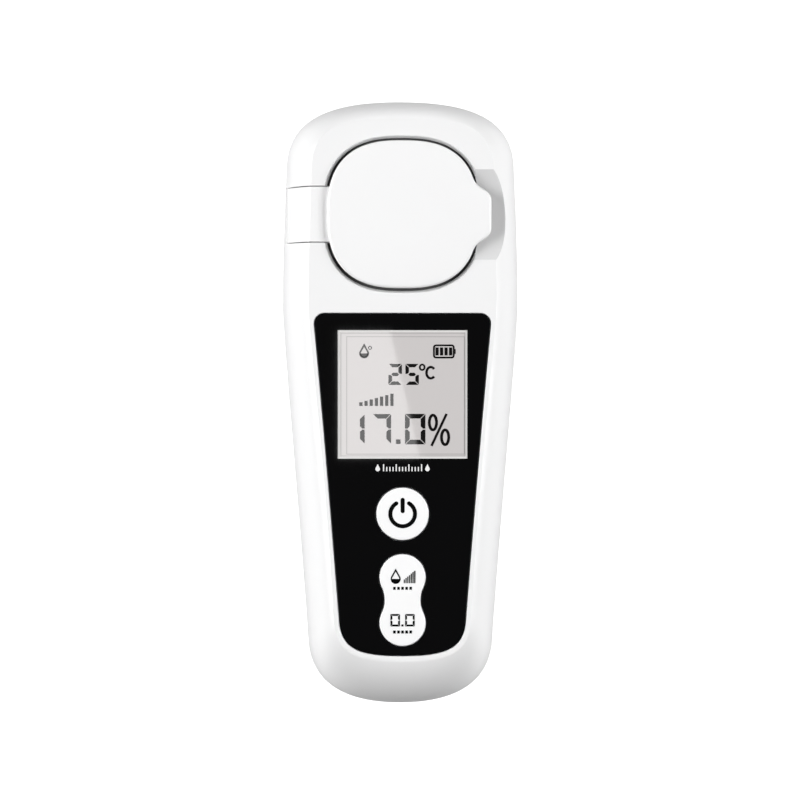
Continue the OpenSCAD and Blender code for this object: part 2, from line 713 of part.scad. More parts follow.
module board_chips() {
    color("black") for (p = [[-12.5, window_y + 8], [11, window_y - 12], [-9, window_y - 16]])
        translate([p.x, p.y, 0]) block(-2.5, 2.5, -2, 2, board_bottom - 1.1, board_bottom);
}
module board_capacitors() {
    color("tan") for (i = [-2:2]) translate([3 * i, board_end - 3, 0])
        block(-0.6, 0.6, -1, 1, board_bottom - 0.9, board_bottom);
}
module buzzer() {
    color("black") translate([-7, power_y - 5, 0])
        disc(8, board_bottom - 2, board_bottom);
}

// ---- Optics --------------------------------------------------------------------------------
module sample_dish() {
    w = prism_window_d / 2 + 0.2;
    color("gainsboro") translate([0, well_y, 0]) rotate_extrude() polygon([
        [w, dish_bottom], [w + 2.6, dish_bottom], [dish_r + dish_wall, dish_seat - 1.2],
        [dish_r + dish_wall, dish_seat], [flange_r, dish_seat], [flange_r, dish_rim],
        [dish_r + 0.3, dish_rim], [dish_r, dish_rim - 0.4], [dish_r, dish_seat - 1],
        [w + 2.4, dish_bottom + dish_wall], [w, dish_bottom + dish_wall]]);
}
module dish_gasket() {
    color("dimgray") translate([0, well_y, 0]) difference() {
        disc(2 * flange_r - 0.4, dish_seat - gasket_height, dish_seat);
        disc(2 * (dish_r + dish_wall + 0.2), dish_seat - 1, dish_seat + 1);
    }
}
module prism() {
    top_half = prism_window_d / 2 + 1.2;
    color("lightcyan") union() {
        across([[-2.6, prism_base], [2.6, prism_base], [top_half, prism_shoulder],
            [-top_half, prism_shoulder]], well_y - 5.4, well_y + 5.4);
        translate([0, well_y, 0]) disc(prism_window_d, prism_shoulder - eps, prism_top);
    }
}
module prism_gasket() {
    color("black") translate([0, well_y, 0]) difference() {
        disc(prism_window_d + 2, prism_shoulder, dish_bottom);
        disc(prism_window_d + 0.2, prism_shoulder - 1, dish_bottom + 1);
    }
}
module optics_block() {
    color("black") difference() {
        union() {
            block(-optics_half, optics_half, well_y - optics_length / 2,
                well_y + optics_length / 2, optics_foot, optics_top);
            block(-optics_half - 4.4, optics_half + 4.4, well_y - 3, well_y + 3, optics_foot,
                optics_foot + 1.6);
        }
        block(-6.8, 6.8, well_y - 5.6, well_y + 5.6, prism_base, optics_top + 1);
        rod_x(well_y, beam_z, -optics_half - 1, optics_half + 1, beam_r);
        for (s = [-1, 1]) translate([s * (optics_half + 2.4), well_y, 0])
            disc(small_screw_d + 0.3, optics_foot - 1, optics_foot + 3);
    }
}
// Small screw that points down, with its head above z
module optics_screws() {
    color("silver") for (s = [-1, 1]) translate([s * (optics_half + 2.4), well_y,
        2 * (optics_foot + 1.6)]) mirror([0, 0, 1])
        screw(small_screw_d, small_screw_d * 1.7, 1.1, 4.2, optics_foot + 1.6, 0.5);
}
module lens(x0, x1) {
    rod_x(well_y, beam_z, x0, x1, beam_r - 0.08);
}
module collimator_lens() {
    color("lightcyan") lens(-9, -7.6);
}
module imaging_lens() {
    color("lightcyan") lens(7.6, 9);
}
module aperture_plate() {
    color("dimgray") difference() {
        lens(9.8, 10.2);
        rod_x(well_y, beam_z, 9, 11, 0.6);
    }
}
module beam_board(s) {
    near = s * optics_half;
    far = s * (optics_half + 1.2);
    block(min(near, far), max(near, far), well_y - 6, well_y + 6, beam_z - 5, beam_z + 5);
}
module led() {
    color("gold") {
        rod_x(well_y, beam_z, -optics_half, -optics_half + 2, 1.5);
        translate([-optics_half + 2, well_y, beam_z]) sphere(r = 1.5, $fn = 24);
    }
}
module led_board() {
    color("darkgreen") beam_board(-1);
}
module image_sensor() {
    color("darkslategray") block(optics_half - 1, optics_half, well_y - 2, well_y + 2,
        beam_z - 2, beam_z + 2);
}
module sensor_board() {
    color("darkgreen") beam_board(1);
}
socket_y = board_end - 9;
socket_x = 8;
// Flat flexible strip from an optics board to its socket under the main board
module ribbon(s) {
    skin = optics_half + 1.2;
    mirror([s < 0 ? 1 : 0, 0, 0]) {
        block(skin, skin + 0.25, socket_y - 2.5, well_y + 4, beam_z - 1, board_bottom - 0.4);
        block(socket_x, skin + 0.25, socket_y - 2.5, socket_y + 2.5, board_bottom - 0.65,
            board_bottom - 0.4);
    }
}
module sensor_ribbon() {
    color("darkorange") ribbon(1);
}
module led_ribbon() {
    color("darkorange") ribbon(-1);
}
module ribbon_sockets() {
    color("ivory") for (s = [-1, 1]) mirror([s < 0 ? 1 : 0, 0, 0]) difference() {
        block(socket_x - 2, socket_x + 1.5, socket_y - 3.2, socket_y + 3.2,
            board_bottom - 1.2, board_bottom);
        block(socket_x, socket_x + 3, socket_y - 2.5, socket_y + 2.5, board_bottom - 0.65,
            board_bottom - 0.4);
    }
}
module thermistor() {
    color("saddlebrown") translate([0, well_y - 8.2, 0]) {
        disc(1.4, optics_top + 0.2, dish_bottom - 0.05);
        for (s = [-1, 1]) translate([s * 0.4, 0, 0]) disc(0.4, optics_top, optics_top + 0.4);
    }
}

front_case();
rear_case();
case_seal();
case_screws();
lid();
lid_seal();
hinge_pin();
display_panel();
power_key();
rocker_key();
key_mat();
contact_pills();
lcd_glass();
lcd_holder();
lcd_reflector();
zebra_strips();
main_board();
controller_chip();
board_chips();
board_capacitors();
buzzer();
board_screws();
ribbon_sockets();
sample_dish();
dish_gasket();
prism();
prism_gasket();
optics_block();
optics_screws();
led();
led_board();
led_ribbon();
collimator_lens();
imaging_lens();
aperture_plate();
sensor_board();
image_sensor();
sensor_ribbon();
thermistor();
battery_door();
battery_cells();
contact_springs();
contact_plates();
battery_link();
rating_label();
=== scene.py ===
"""Looks of a hand-held digital refractometer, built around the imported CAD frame.

The meter lies on its back: +Z comes out of the face and +Y points to the sample end. Shapes are
worked out in millimetres and turned to metres when a mesh is made.
"""
import math

import bmesh
import bpy
import numpy as np
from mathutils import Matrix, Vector


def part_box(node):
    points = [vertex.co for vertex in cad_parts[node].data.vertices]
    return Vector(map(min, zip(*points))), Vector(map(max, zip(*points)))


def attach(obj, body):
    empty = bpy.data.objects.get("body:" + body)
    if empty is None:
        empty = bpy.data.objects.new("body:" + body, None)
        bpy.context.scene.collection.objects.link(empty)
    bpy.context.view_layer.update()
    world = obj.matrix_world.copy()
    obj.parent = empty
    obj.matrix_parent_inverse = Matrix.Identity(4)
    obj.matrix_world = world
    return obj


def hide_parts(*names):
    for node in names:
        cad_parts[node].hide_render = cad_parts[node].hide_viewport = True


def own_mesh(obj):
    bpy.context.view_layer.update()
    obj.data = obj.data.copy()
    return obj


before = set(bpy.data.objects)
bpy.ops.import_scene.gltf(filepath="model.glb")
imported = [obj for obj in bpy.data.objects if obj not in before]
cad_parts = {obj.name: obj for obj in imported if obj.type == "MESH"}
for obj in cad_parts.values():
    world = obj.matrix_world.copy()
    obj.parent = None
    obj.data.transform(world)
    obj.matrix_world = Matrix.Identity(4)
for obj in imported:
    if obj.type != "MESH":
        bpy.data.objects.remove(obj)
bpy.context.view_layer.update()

MM = 0.001


def box_mm(node):
    low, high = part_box(node)
    return [v / MM for v in low], [v / MM for v in high]


def pairs(p):
    """A spot and its mirror image across the middle line."""
    return [(-p[0], p[1]), (p[0], p[1])]


# ---- Sizes, from the frame and from the part's own design ------------------------------------
front_low, front_high = box_mm("front_case")
half_w = front_high[0]
half_l = front_high[1]
parting = front_low[2]
face = front_high[2]
panel_low, panel_high = box_mm("display_panel")
panel_floor, panel_top = panel_low[2], panel_high[2]
window_top = panel_top - 0.2
dish_low, dish_high = box_mm("sample_dish")
well_y = (dish_low[1] + dish_high[1]) / 2
dish_rim = dish_high[2]
flange_r = dish_high[0]
key_low, key_high = box_mm("power_key")
power_y = (key_low[1] + key_high[1]) / 2
rocker_low, rocker_high = box_mm("rocker_key")
rocker_y = (rocker_low[1] + rocker_high[1]) / 2
key_top = key_high[2]
lid_peak = box_mm("lid")[1][2]
door_end = box_mm("battery_door")[1][1]
glass_low, glass_high = box_mm("lcd_glass")
label_low, label_high = box_mm("rating_label")
board_top = box_mm("main_board")[1][2]
window_y = (glass_low[1] + glass_high[1]) / 2
spring_low, spring_high = box_mm("contact_springs")
cell_low, cell_high = box_mm("battery_cells")

# Case: walls, the rounding of the sides, the seal groove in the parting
side_wall, face_wall, back_wall = 2.2, 2.4, 2.2
back_round, crease_angle, chin_crease, seam_bevel = 7.6, 25, 0.8, 0.16
seal_outer, seal_inner, seal_half = 0.65, 1.55, 0.45
front_inside = face - face_wall

# Lid, its pocket, the hinge and the finger scoop
lid_half_w, lid_half_l, lid_power = 16.65, 16.35, 2.6
lid_gap, pocket_depth, pocket_wall, groove_depth = 0.45, 0.6, 1.8, 1.9
lid_bottom = face - pocket_depth + 0.1
tab_reach, tab_half = 3.0, 3.6
arm_half, arm_gap, seam = 6.05, 0.3, 0.25
arm_underside = face - 1.8
hinge_x, hinge_z = -(half_w - 4), parting + 5.1
pin_r, pin_half, bore_gap = 1.0, 9.2, 0.05
barrel_r, slot_r = 3.1, 3.6
lid_open = 100
scoop_depth, scoop_half = 2.6, 10.0
scoop_r = (scoop_half**2 + scoop_depth**2) / (2 * scoop_depth)
scoop_x, scoop_axis = lid_half_w - 3, face + scoop_r - scoop_depth

# Window and keys
window_w, window_l = 28.7, 28.4
power_r, key_gap, key_flange, key_roll, key_dish = 5.8, 0.25, 0.8, 0.22, 0.1
rocker_end_r, rocker_half, rocker_waist = 5.1, 5.05, 3.95
rocker_neck_r = ((rocker_end_r**2 - rocker_half**2 - rocker_waist**2)
                 / (2 * (rocker_waist - rocker_end_r)))
mat_half, mat_thick, dome_foot, dome_crown = 8.5, 0.8, 4.4, 2.9

# Screws and the posts they go into
screw_d, screw_seat, screw_length = 2.5, 5.0, 12.0
head_r = screw_d * 0.92
head_well_r = head_r + 0.3
front_boss_r, rear_boss_r = screw_d / 2 + 1.7, screw_d / 2 + 2.3
case_spots = pairs((half_w - 9.3, half_l - 12.5)) + pairs((half_w - 9.2, -half_l + 23.5))
board_spots = pairs((11.0, well_y - 17.1)) + pairs((13.0, power_y + 5.1))
post_r, pilot_r, board_thick = 2.2, 1.05, 1.6
optics_post_x, optics_foot, foot_thick = 15.4, 4.0, 1.6

# Battery bay and its door
bay_half, bay_bottom, bay_length, bay_ceiling = 11.3, -half_l + 12, 49.0, 13.1
bay_wall = 1.2
bay_top = bay_bottom + bay_length
door_half, door_rail, door_thick, door_gap = 12.4, 1.0, 1.8, 0.1
grip_count, grip_pitch, grip_half, grip_r = 6, 1.8, 7, 0.55
tag_x, tag_half, tag_depth = 5.4, 1.8, 0.9
spring_length = 3.5


# ---- Outlines in plan ------------------------------------------------------------------------
# Each starts at the middle of the sample end and runs clockwise, seen from above.
END, SHOULDER, FLANK, CHIN = 64, 30, 44, 64


def curve(p, n):
    t = (np.arange(n) / n)[:, None]
    u = 1 - t
    p = np.array(p, float)
    return u**3 * p[0] + 3 * u * u * t * p[1] + 3 * u * t * t * p[2] + t**3 * p[3]


def mirrored(half):
    left = half[-2:0:-1] * [-1, 1]
    return np.vstack([half, left])


def outline(end, shoulder, flank, chin):
    parts = [curve(end, END), curve(shoulder, SHOULDER), curve(flank, FLANK), curve(chin, CHIN)]
    return mirrored(np.vstack(parts + [np.array([chin[3]], float)]))


def vec(*v):
    return np.array(v, float)


def body_outline():
    shoulder, widest = vec(half_w - 0.85, half_l - 14.3), vec(half_w, half_l - 46.6)
    chin = vec(half_w - 5.7, -half_l + 14.2)
    down, in_down = vec(0.045, -1), vec(-0.061, -1)
    return outline(
        [(0, half_l), (half_w - 12.4, half_l), shoulder - 11.5 * down, shoulder],
        [shoulder, shoulder + 12.7 * down, widest + [0, 12.7], widest],
        [widest, widest - [0, 6], chin - 17.9 * in_down, chin],
        [chin, chin + 5.6 * in_down, (half_w - 9, -half_l), (0, -half_l)],
    )


def face_outline():
    shoulder, widest = vec(half_w - 6.26, half_l - 16.5), vec(half_w - 5.6, half_l - 44.8)
    chin, bottom = vec(half_w - 11.2, -half_l + 20), -half_l + 10.5
    return outline(
        [(0, half_l - 5), (half_w - 14, half_l - 5), shoulder + [0, 11.2], shoulder],
        [shoulder, shoulder + [0.3, -12], widest + [0, 11.5], widest],
        [widest, widest - [0, 8.8], chin + [2.2, 38.4], chin],
        [chin, chin - [0.45, 7.9], (half_w - 16.5, bottom), (0, bottom)],
    )


def inset(pts, d):
    """Moves every point of a clockwise outline inwards by d."""
    run = np.roll(pts, -1, 0) - np.roll(pts, 1, 0)
    run /= np.linalg.norm(run, axis=1)[:, None]
    return pts + d * np.stack([run[:, 1], -run[:, 0]], 1)


def crease_share():
    """How sharply the side meets the face: none at the sample end, all of it on the sides."""
    ease = lambda t: t * t * (3 - 2 * t)
    half = np.concatenate([
        ease(np.arange(END) / END), np.ones(SHOULDER + FLANK),
        1 - (1 - chin_crease) * ease(np.arange(CHIN + 1) / CHIN)])
    return np.concatenate([half, half[-2:0:-1]])


def panel_outline(steps=10):
    half = half_w - 6.85
    top, tip, corner = well_y - 21.9, -half_l + 11.5, 2.3
    side = vec(half, top - corner - 0.1)
    chin = vec(half_w - 12.4, tip + 7.9)
    a = np.radians(90 - np.arange(steps) * 88 / steps)
    round_top = vec(half - corner, side[1] + 0.1) + corner * np.stack([np.cos(a), np.sin(a)], 1)
    return mirrored(np.vstack([
        [[0, top]], round_top,
        curve([side, side - [1.92, 20], chin + [1.54, 20], chin], 30),
        curve([chin, chin - [0.4, 6.5], (half_w - 17, tip), (0, tip)], 30), [[0, tip]]]))


def superellipse(grow):
    """Outline of the lid's disc and of the pocket round it."""
    n = 240
    a = np.radians(90 - np.arange(n) * 360 / n)
    c, s, e = np.cos(a), np.sin(a), 2 / lid_power
    return np.stack([(lid_half_w + grow) * np.sign(c) * np.abs(c) ** e,
                     well_y + (lid_half_l + grow) * np.sign(s) * np.abs(s) ** e], 1)


def lid_outline():
    """The disc with its finger tab; each side leaves the disc in a hollow, then turns a corner."""
    disc = superellipse(0)
    leave = 0.5 * lid_half_l
    edge_x = lid_half_w + tab_reach
    on_left = disc[:, 0] < 0
    far = np.abs(disc[:, 1] - well_y) > leave
    before = [p for p, l, f in zip(disc, on_left, far) if not l and f and p[1] > well_y]
    after = [p for p, l, f in zip(disc, on_left, far) if not l and f and p[1] < well_y]
    rest = [p for p, l in zip(disc, on_left) if l]
    start = np.array(before[-1])
    run = start - before[-2]
    run /= np.linalg.norm(run)
    knee = vec(lid_half_w + 0.7, well_y + tab_half + 2.3)
    across = vec(0.85, -0.53)
    upper = np.vstack([
        curve([start, start + 1.3 * run, knee - 0.9 * across, knee], 14)[1:],
        curve([knee, knee + 1.5 * across, (edge_x, well_y + tab_half + 1.0),
               (edge_x, well_y + tab_half - 0.6)], 14)])
    straight = np.stack([np.full(5, edge_x),
                         np.linspace(well_y + tab_half - 0.6, well_y - tab_half + 0.6, 5)], 1)
    lower = (upper[::-1] - [0, well_y]) * [1, -1] + [0, well_y]
    return np.vstack([before, upper, straight, lower, after, rest])


def rocker_outline(grow):
    """Two round lobes joined by a hollow waist, grown all round."""
    n = 40
    far = rocker_waist + rocker_neck_r
    tilt = math.atan2(rocker_half, far)
    big, neck = rocker_end_r + grow, rocker_neck_r - grow
    a = np.linspace(math.pi / 2, -tilt, n)
    lobe = np.stack([big * np.cos(a), rocker_half + big * np.sin(a)], 1)
    b = np.linspace(math.pi - tilt, math.pi, n // 2)[1:]
    waist = np.stack([far + neck * np.cos(b), neck * np.sin(b)], 1)
    quarter = np.vstack([lobe, waist])
    right = np.vstack([quarter, quarter[-2::-1] * [1, -1]])
    return mirrored(right) + [0, rocker_y]


def circle(x, y, r, n):
    a = np.radians(90 - np.arange(n) * 360 / n)
    return np.stack([x + r * np.cos(a), y + r * np.sin(a)], 1)


def power_circle(grow):
    return circle(0, power_y, power_r + grow, 160)


def rectangle(x0, x1, y0, y1):
    return np.array([(x1, y1), (x1, y0), (x0, y0), (x0, y1)], float)


# ---- Solids ----------------------------------------------------------------------------------
def at(pts, z):
    return np.column_stack([pts, np.full(len(pts), z)])


def new_solid(name, verts, faces):
    """Makes an object from points in millimetres, with its faces turned outwards."""
    mesh = bpy.data.meshes.new(name)
    mesh.from_pydata((np.asarray(verts) * MM).tolist(), [], faces)
    mesh.update()
    bm = bmesh.new()
    bm.from_mesh(mesh)
    bmesh.ops.recalc_face_normals(bm, faces=bm.faces)
    bm.to_mesh(mesh)
    bm.free()
    made = bpy.data.objects.new(name, mesh)
    bpy.context.scene.collection.objects.link(made)
    return made


def loft(rings, name="tool", looped=False):
    """Closed solid through rings of [x, y, z] points; looped joins the last ring to the first."""
    n, m = len(rings[0]), len(rings)
    faces = []
    for j in range(m if looped else m - 1):
        low, high = j * n, ((j + 1) % m) * n
        faces += [(low + k, high + k, high + (k + 1) % n, low + (k + 1) % n) for k in range(n)]
    if not looped:
        faces += [tuple(range(n)), tuple(range(m * n - 1, (m - 1) * n - 1, -1))]
    return new_solid(name, np.vstack(rings), faces)


def slab(pts, z0, z1, name="tool"):
    return loft([at(pts, z0), at(pts, z1)], name)


def block(x0, x1, y0, y1, z0, z1):
    return slab(rectangle(x0, x1, y0, y1), z0, z1)


def window_block(grow, z0, z1):
    return block(-window_w / 2 - grow, window_w / 2 + grow, window_y - window_l / 2 - grow,
                 window_y + window_l / 2 + grow, z0, z1)


def post(x, y, r, z0, z1):
    return slab(circle(x, y, r, 48), z0, z1)


def across_y(profile, y0, y1):
    """Profile of (x, z) points, run along Y."""
    pts = np.array(profile, float)
    return loft([np.column_stack([pts[:, 0], np.full(len(pts), y), pts[:, 1]]) for y in (y0, y1)])


def rod_section(u, v, r, n):
    a = np.radians(np.arange(n) * 360 / n)
    return np.stack([u + r * np.cos(a), v + r * np.sin(a)], 1)


def rod_y(x, z, y0, y1, r):
    return across_y(rod_section(x, z, r, 64), y0, y1)


def rod_x(y, z, x0, x1, r, n):
    ring = rod_section(y, z, r, n)
    return loft([np.column_stack([np.full(n, x), ring]) for x in (x0, x1)])


def turned(profile, x, y, n=128):
    """Profile of (radius, z) points, turned about a vertical line."""
    return loft([at(circle(x, y, r, n), z) for r, z in profile])


def flared(grown, floor, top, radius):
    """Cutter for a recess whose rim is rounded; grown(g) gives the outline grown by g."""
    rings = [at(grown(0), floor)]
    for a in np.radians(np.linspace(0, 80, 6)):
        grow = radius * (1 - math.cos(a))
        rings.append(at(grown(grow), top - radius * (1 - math.sin(a))))
    return loft(rings + [at(grown(grow + 0.3), top + 1.2)])


def settle(thing):
    """Replaces an object's mesh by what its modifiers make, and removes them."""
    depsgraph = bpy.context.evaluated_depsgraph_get()
    depsgraph.update()
    mesh = bpy.data.meshes.new_from_object(thing.evaluated_get(depsgraph))
    thing.modifiers.clear()
    thing.data = mesh
    return thing


def combine(base, others, operation):
    """Joins or cuts one solid with others, which are used up."""
    for other in others:
        step = base.modifiers.new("step", "BOOLEAN")
        step.solver, step.operation, step.object = "MANIFOLD", operation, other
    settle(base)
    for other in others:
        bpy.data.objects.remove(other)
    if len(base.data.polygons) == 0:
        raise RuntimeError(f"{base.name}: the {operation} left nothing")
    return base


def cut(base, *tools):
    return combine(base, tools, "DIFFERENCE")


def add(base, *tools):
    return combine(base, tools, "UNION")


def common(base, *tools):
    return combine(base, tools, "INTERSECT")


def smooth(thing, sharp=32):
    """Welds, shades smooth except at sharp edges, and lets the large faces lead the normals."""
    bm = bmesh.new()
    bm.from_mesh(thing.data)
    bmesh.ops.remove_doubles(bm, verts=bm.verts, dist=2e-6)
    bmesh.ops.dissolve_degenerate(bm, edges=bm.edges, dist=1e-7)
    bm.to_mesh(thing.data)
    bm.free()
    mesh = thing.data
    mesh.polygons.foreach_set("use_smooth", [True] * len(mesh.polygons))
    mesh.set_sharp_from_angle(angle=math.radians(sharp))
    lead = thing.modifiers.new("lead", "WEIGHTED_NORMAL")
    lead.keep_sharp = True
    return settle(thing)


def add_node(tree, kind, inputs, **settings):
    """Adds a node; each named input gets a value, or a link from another node's output."""
    node = tree.nodes.new(kind)
    for key, value in settings.items():
        setattr(node, key, value)
    feed(tree, node, inputs)
    return node


def feed(tree, node, inputs):
    """Fills a node's inputs; a None leaves its input as it is."""
    for key, value in inputs.items():
        if isinstance(value, bpy.types.NodeSocket):
            tree.links.new(value, node.inputs[key])
        elif value is not None:
            node.inputs[key].default_value = value


def dress(thing, name, body, finish, replaces=()):
    """Names a piece, gives it its finish and hangs it on its body."""
    thing.name = thing.data.name = name
    thing.data.materials.clear()
    thing.data.materials.append(finish)
    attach(thing, body)
    if replaces:
        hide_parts(*replaces)
    return thing


# ---- Case ------------------------------------------------------------------------------------
BODY, FACE, SHARE = body_outline(), face_outline(), crease_share()
BACK = BODY * [1 - back_round / half_w, 1 - back_round / half_l]


def side_rings(wide, narrow, z0, rise, crease, m):
    """Rings of the rounded side, from the parting up or down to the flat of the face or back."""
    full = np.radians(90 - crease * SHARE)
    rings = []
    for share in np.linspace(0, 1, m + 1):
        a = full * share
        g = ((1 - np.cos(a)) / (1 - np.cos(full)))[:, None]
        rings.append(np.column_stack([wide + (narrow - wide) * g,
                                      z0 + rise * np.sin(a) / np.sin(full)]))
    return rings


def half_outside(narrow, rise, crease):
    """One case half as a solid, with a small bevel where it meets the other half."""
    rings = side_rings(BODY, narrow, parting, rise, crease, 32)
    edge = [at(inset(BODY, seam_bevel), parting),
            at(BODY, parting + math.copysign(seam_bevel, rise))]
    return loft(edge + rings[1:])


def front_outside():
    return half_outside(FACE, face - parting, crease_angle)


def rear_outside():
    return half_outside(BACK, -parting, 0)


def seal_groove():
    """Ring for the case seal, half of it in each half of the case."""
    outer, inner = inset(BODY, seal_outer), inset(BODY, seal_inner)
    z0, z1 = parting - seal_half, parting + seal_half
    return loft([at(outer, z0), at(outer, z1), at(inner, z1), at(inner, z0)], looped=True)


def hinge_slot():
    """Room for the lid's arm and barrel, with a ramp where the arm comes to rest when open."""
    pivot = vec(hinge_x, hinge_z)
    down = math.radians(90 - lid_open)
    ramp = vec(-math.cos(down), math.sin(down))
    start = pivot - slot_r * vec(ramp[1], -ramp[0])
    end_x, wall_x, floor = -flange_r - 0.5, hinge_x + 2.4, arm_underside - arm_gap
    y0, y1 = well_y - arm_half - seam, well_y + arm_half + seam
    slot = across_y([start, start + 9 * ramp, (hinge_x - 9, face + 2), (end_x, face + 2),
                     (end_x, floor), (wall_x, floor), (wall_x, hinge_z), pivot], y0, y1)
    return add(slot, rod_y(hinge_x, hinge_z, y0, y1, slot_r))


def scoop():
    """Finger scoop at the tab: a round hollow across the edge, outside the lid's pocket."""
    bowl = rod_x(well_y, scoop_axis, scoop_x, half_w + 5, scoop_r, 360)
    return cut(bowl, slab(superellipse(lid_gap), 0, face + 30))


def front_void():
    """The space inside the front half, less the walls, posts and blocks that stand in it."""
    inner = inset(BODY, side_wall)
    void = loft(side_rings(inner, inset(FACE, 1.2), parting - 0.02,
                           front_inside - parting + 0.02, crease_angle, 12))
    floor = front_inside - pocket_wall
    solids = [
        slab(superellipse(lid_gap + pocket_wall), floor, face),
        block(scoop_x, half_w, well_y - scoop_half - 2, well_y + scoop_half + 2, floor,
              face + 0.1),
        block(-half_w, hinge_x + 5.6, well_y - pin_half - 1.4, well_y + pin_half + 1.4,
              parting - 0.1, face + 0.2)]
    for x, y in case_spots:
        solids.append(post(x, y, front_boss_r, parting - 0.2, face))
    for x, y in board_spots:
        solids.append(post(x, y, post_r, board_top, face))
    bearing_x, bearing_half, bearing_y = rocker_waist + key_flange + 1.1, 0.7, 1.7
    for x in (-bearing_x, bearing_x):
        solids.append(block(x - bearing_half, x + bearing_half, rocker_y - bearing_y,
                            rocker_y + bearing_y, front_inside - 2.9, face))
    return cut(void, *solids)


def make_front_case(finish, scoop_painted_shade_finish, groove_painted_shade_finish):
    panel = panel_outline()
    tools = [
        front_void(), hinge_slot(), scoop(),
        flared(lambda g: inset(panel, -0.1 - g), panel_floor, face, 0.18),
        window_block(0.4, front_inside - 1, face),
        post(0, power_y, power_r + key_gap, front_inside - 1, face),
        slab(rocker_outline(key_gap), front_inside - 1, face),
        slab(superellipse(lid_gap), face - pocket_depth, face + 1),
        loft([at(superellipse(lid_gap + g), face + z) for g, z in (
            (-0.6, 1), (-0.6, -groove_depth), (0, -groove_depth), (0.1, -1.0), (0.62, -0.06),
            (0.74, 0), (0.74, 1))], looped=True),
        turned([(flange_r + 0.1, dish_rim - 1.2), (flange_r + 0.1, face)], 0, well_y),
        turned([(flange_r - 0.9, front_inside - 4), (flange_r - 0.9, face)], 0, well_y),
        rod_y(hinge_x, hinge_z, well_y - pin_half, well_y + pin_half, pin_r + bore_gap),
        seal_groove()]
    for x, y in case_spots:
        tools.append(post(x, y, screw_d / 2 + bore_gap, parting - 1,
                          screw_seat + screw_length + 0.5))
    for x, y in board_spots:
        tools.append(post(x, y, pilot_r, board_top - 1, board_top + 3.6))
    shell = smooth(cut(front_outside(), *tools))
    dress(shell, "front_shell", "case", finish, ["front_case"])
    shell.data.materials.append(scoop_painted_shade_finish)
    shell.data.materials.append(groove_painted_shade_finish)
    for side in shell.data.polygons:
        x, y, z = side.center / MM
        off_bowl = abs(math.hypot(y - well_y, z - scoop_axis) - scoop_r)
        out = (abs(x) / lid_half_w)**lid_power + (abs(y - well_y) / lid_half_l)**lid_power
        # Painted shade: faces in the groove round the lid's pocket get a near-black finish, so the
        # gap reads darker.
        in_painted_shade_groove = 0.95 < out < 1.1 and -groove_depth - 0.05 < z - face < -0.9
        in_slot = x < 0 and abs(y - well_y) < arm_half + seam + 0.1
        # Painted shade: the finger scoop's faces get a darker finish, standing in for the shade
        # under the lid's tab.
        in_painted_shade_scoop = x > scoop_x and z < face and off_bowl < 0.02 and side.normal.z > 0
        if in_painted_shade_scoop:
            side.material_index = 1
        elif in_painted_shade_groove and not in_slot:
            side.material_index = 2


def bay_block(grow, z0, z1):
    return block(-bay_half - grow, bay_half + grow, bay_bottom - grow, bay_top + grow, z0, z1)


def label_recess():
    """Shallow recess in the back plane with a slightly rounded rim."""
    plan = rectangle(label_low[0] - 0.1, label_high[0] + 0.1, label_low[1] - 0.1,
                     label_high[1] + 0.1)
    return loft([at(inset(plan, -0.25), -1), at(inset(plan, -0.12), -0.01), at(plan, 0.1),
                 at(plan, 0.3)])


def rear_void():
    """The space inside the rear half, less the bay, the bosses and the feet that stand in it."""
    inner = inset(BODY, side_wall)
    flat = BODY * [1 - (back_round + 0.8) / half_w, 1 - (back_round + 0.8) / half_l]
    void = loft(side_rings(inner, flat, parting + 0.02, back_wall - parting - 0.02, 0, 12))
    wide = door_half + door_rail + 1.2
    solids = [
        block(-wide, wide, -half_l, door_end + 2, 0, door_thick + 1.5),
        bay_block(bay_wall, -0.1, parting + 0.5)]
    for x, y in case_spots:
        solids.append(post(x, y, rear_boss_r, -0.2, parting + 0.6))
    for x in (-optics_post_x, optics_post_x):
        solids.append(post(x, well_y, post_r, -0.3, optics_foot))
    return cut(void, *solids)


def make_rear_case(finish):
    shell = add(cut(rear_outside(), rear_void()),
                bay_block(bay_wall, parting - 1, bay_ceiling + bay_wall))
    slide, rail = door_half + door_gap, door_half + door_rail + door_gap
    stop, deep = door_end + door_gap, door_thick + door_gap
    tools = [
        bay_block(0, -1, bay_ceiling),
        block(-slide, slide, -half_l - 1, stop, -1, deep),
        block(-rail, rail, -half_l - 1.1, stop, door_thick - 0.9, deep),
        label_recess(), seal_groove()]
    for x, y in case_spots:
        tools.append(turned([(head_well_r + 0.6, -0.5), (head_well_r, 0.5),
                             (head_well_r, screw_seat)], x, y, n=64))
        tools.append(post(x, y, screw_d / 2 + 0.2, 0, parting + 1))
    for s in (-1, 1):
        tools.append(post(s * optics_post_x, well_y, pilot_r, 1.2, optics_foot + 1))
        x = s * tag_x
        tools.append(block(x - tag_half, x + tag_half, bay_top - tag_depth, bay_top,
                           bay_ceiling - 1, bay_ceiling + 2))
    shell = smooth(cut(shell, *tools))
    return dress(shell, "rear_shell", "case", finish, ["rear_case"])


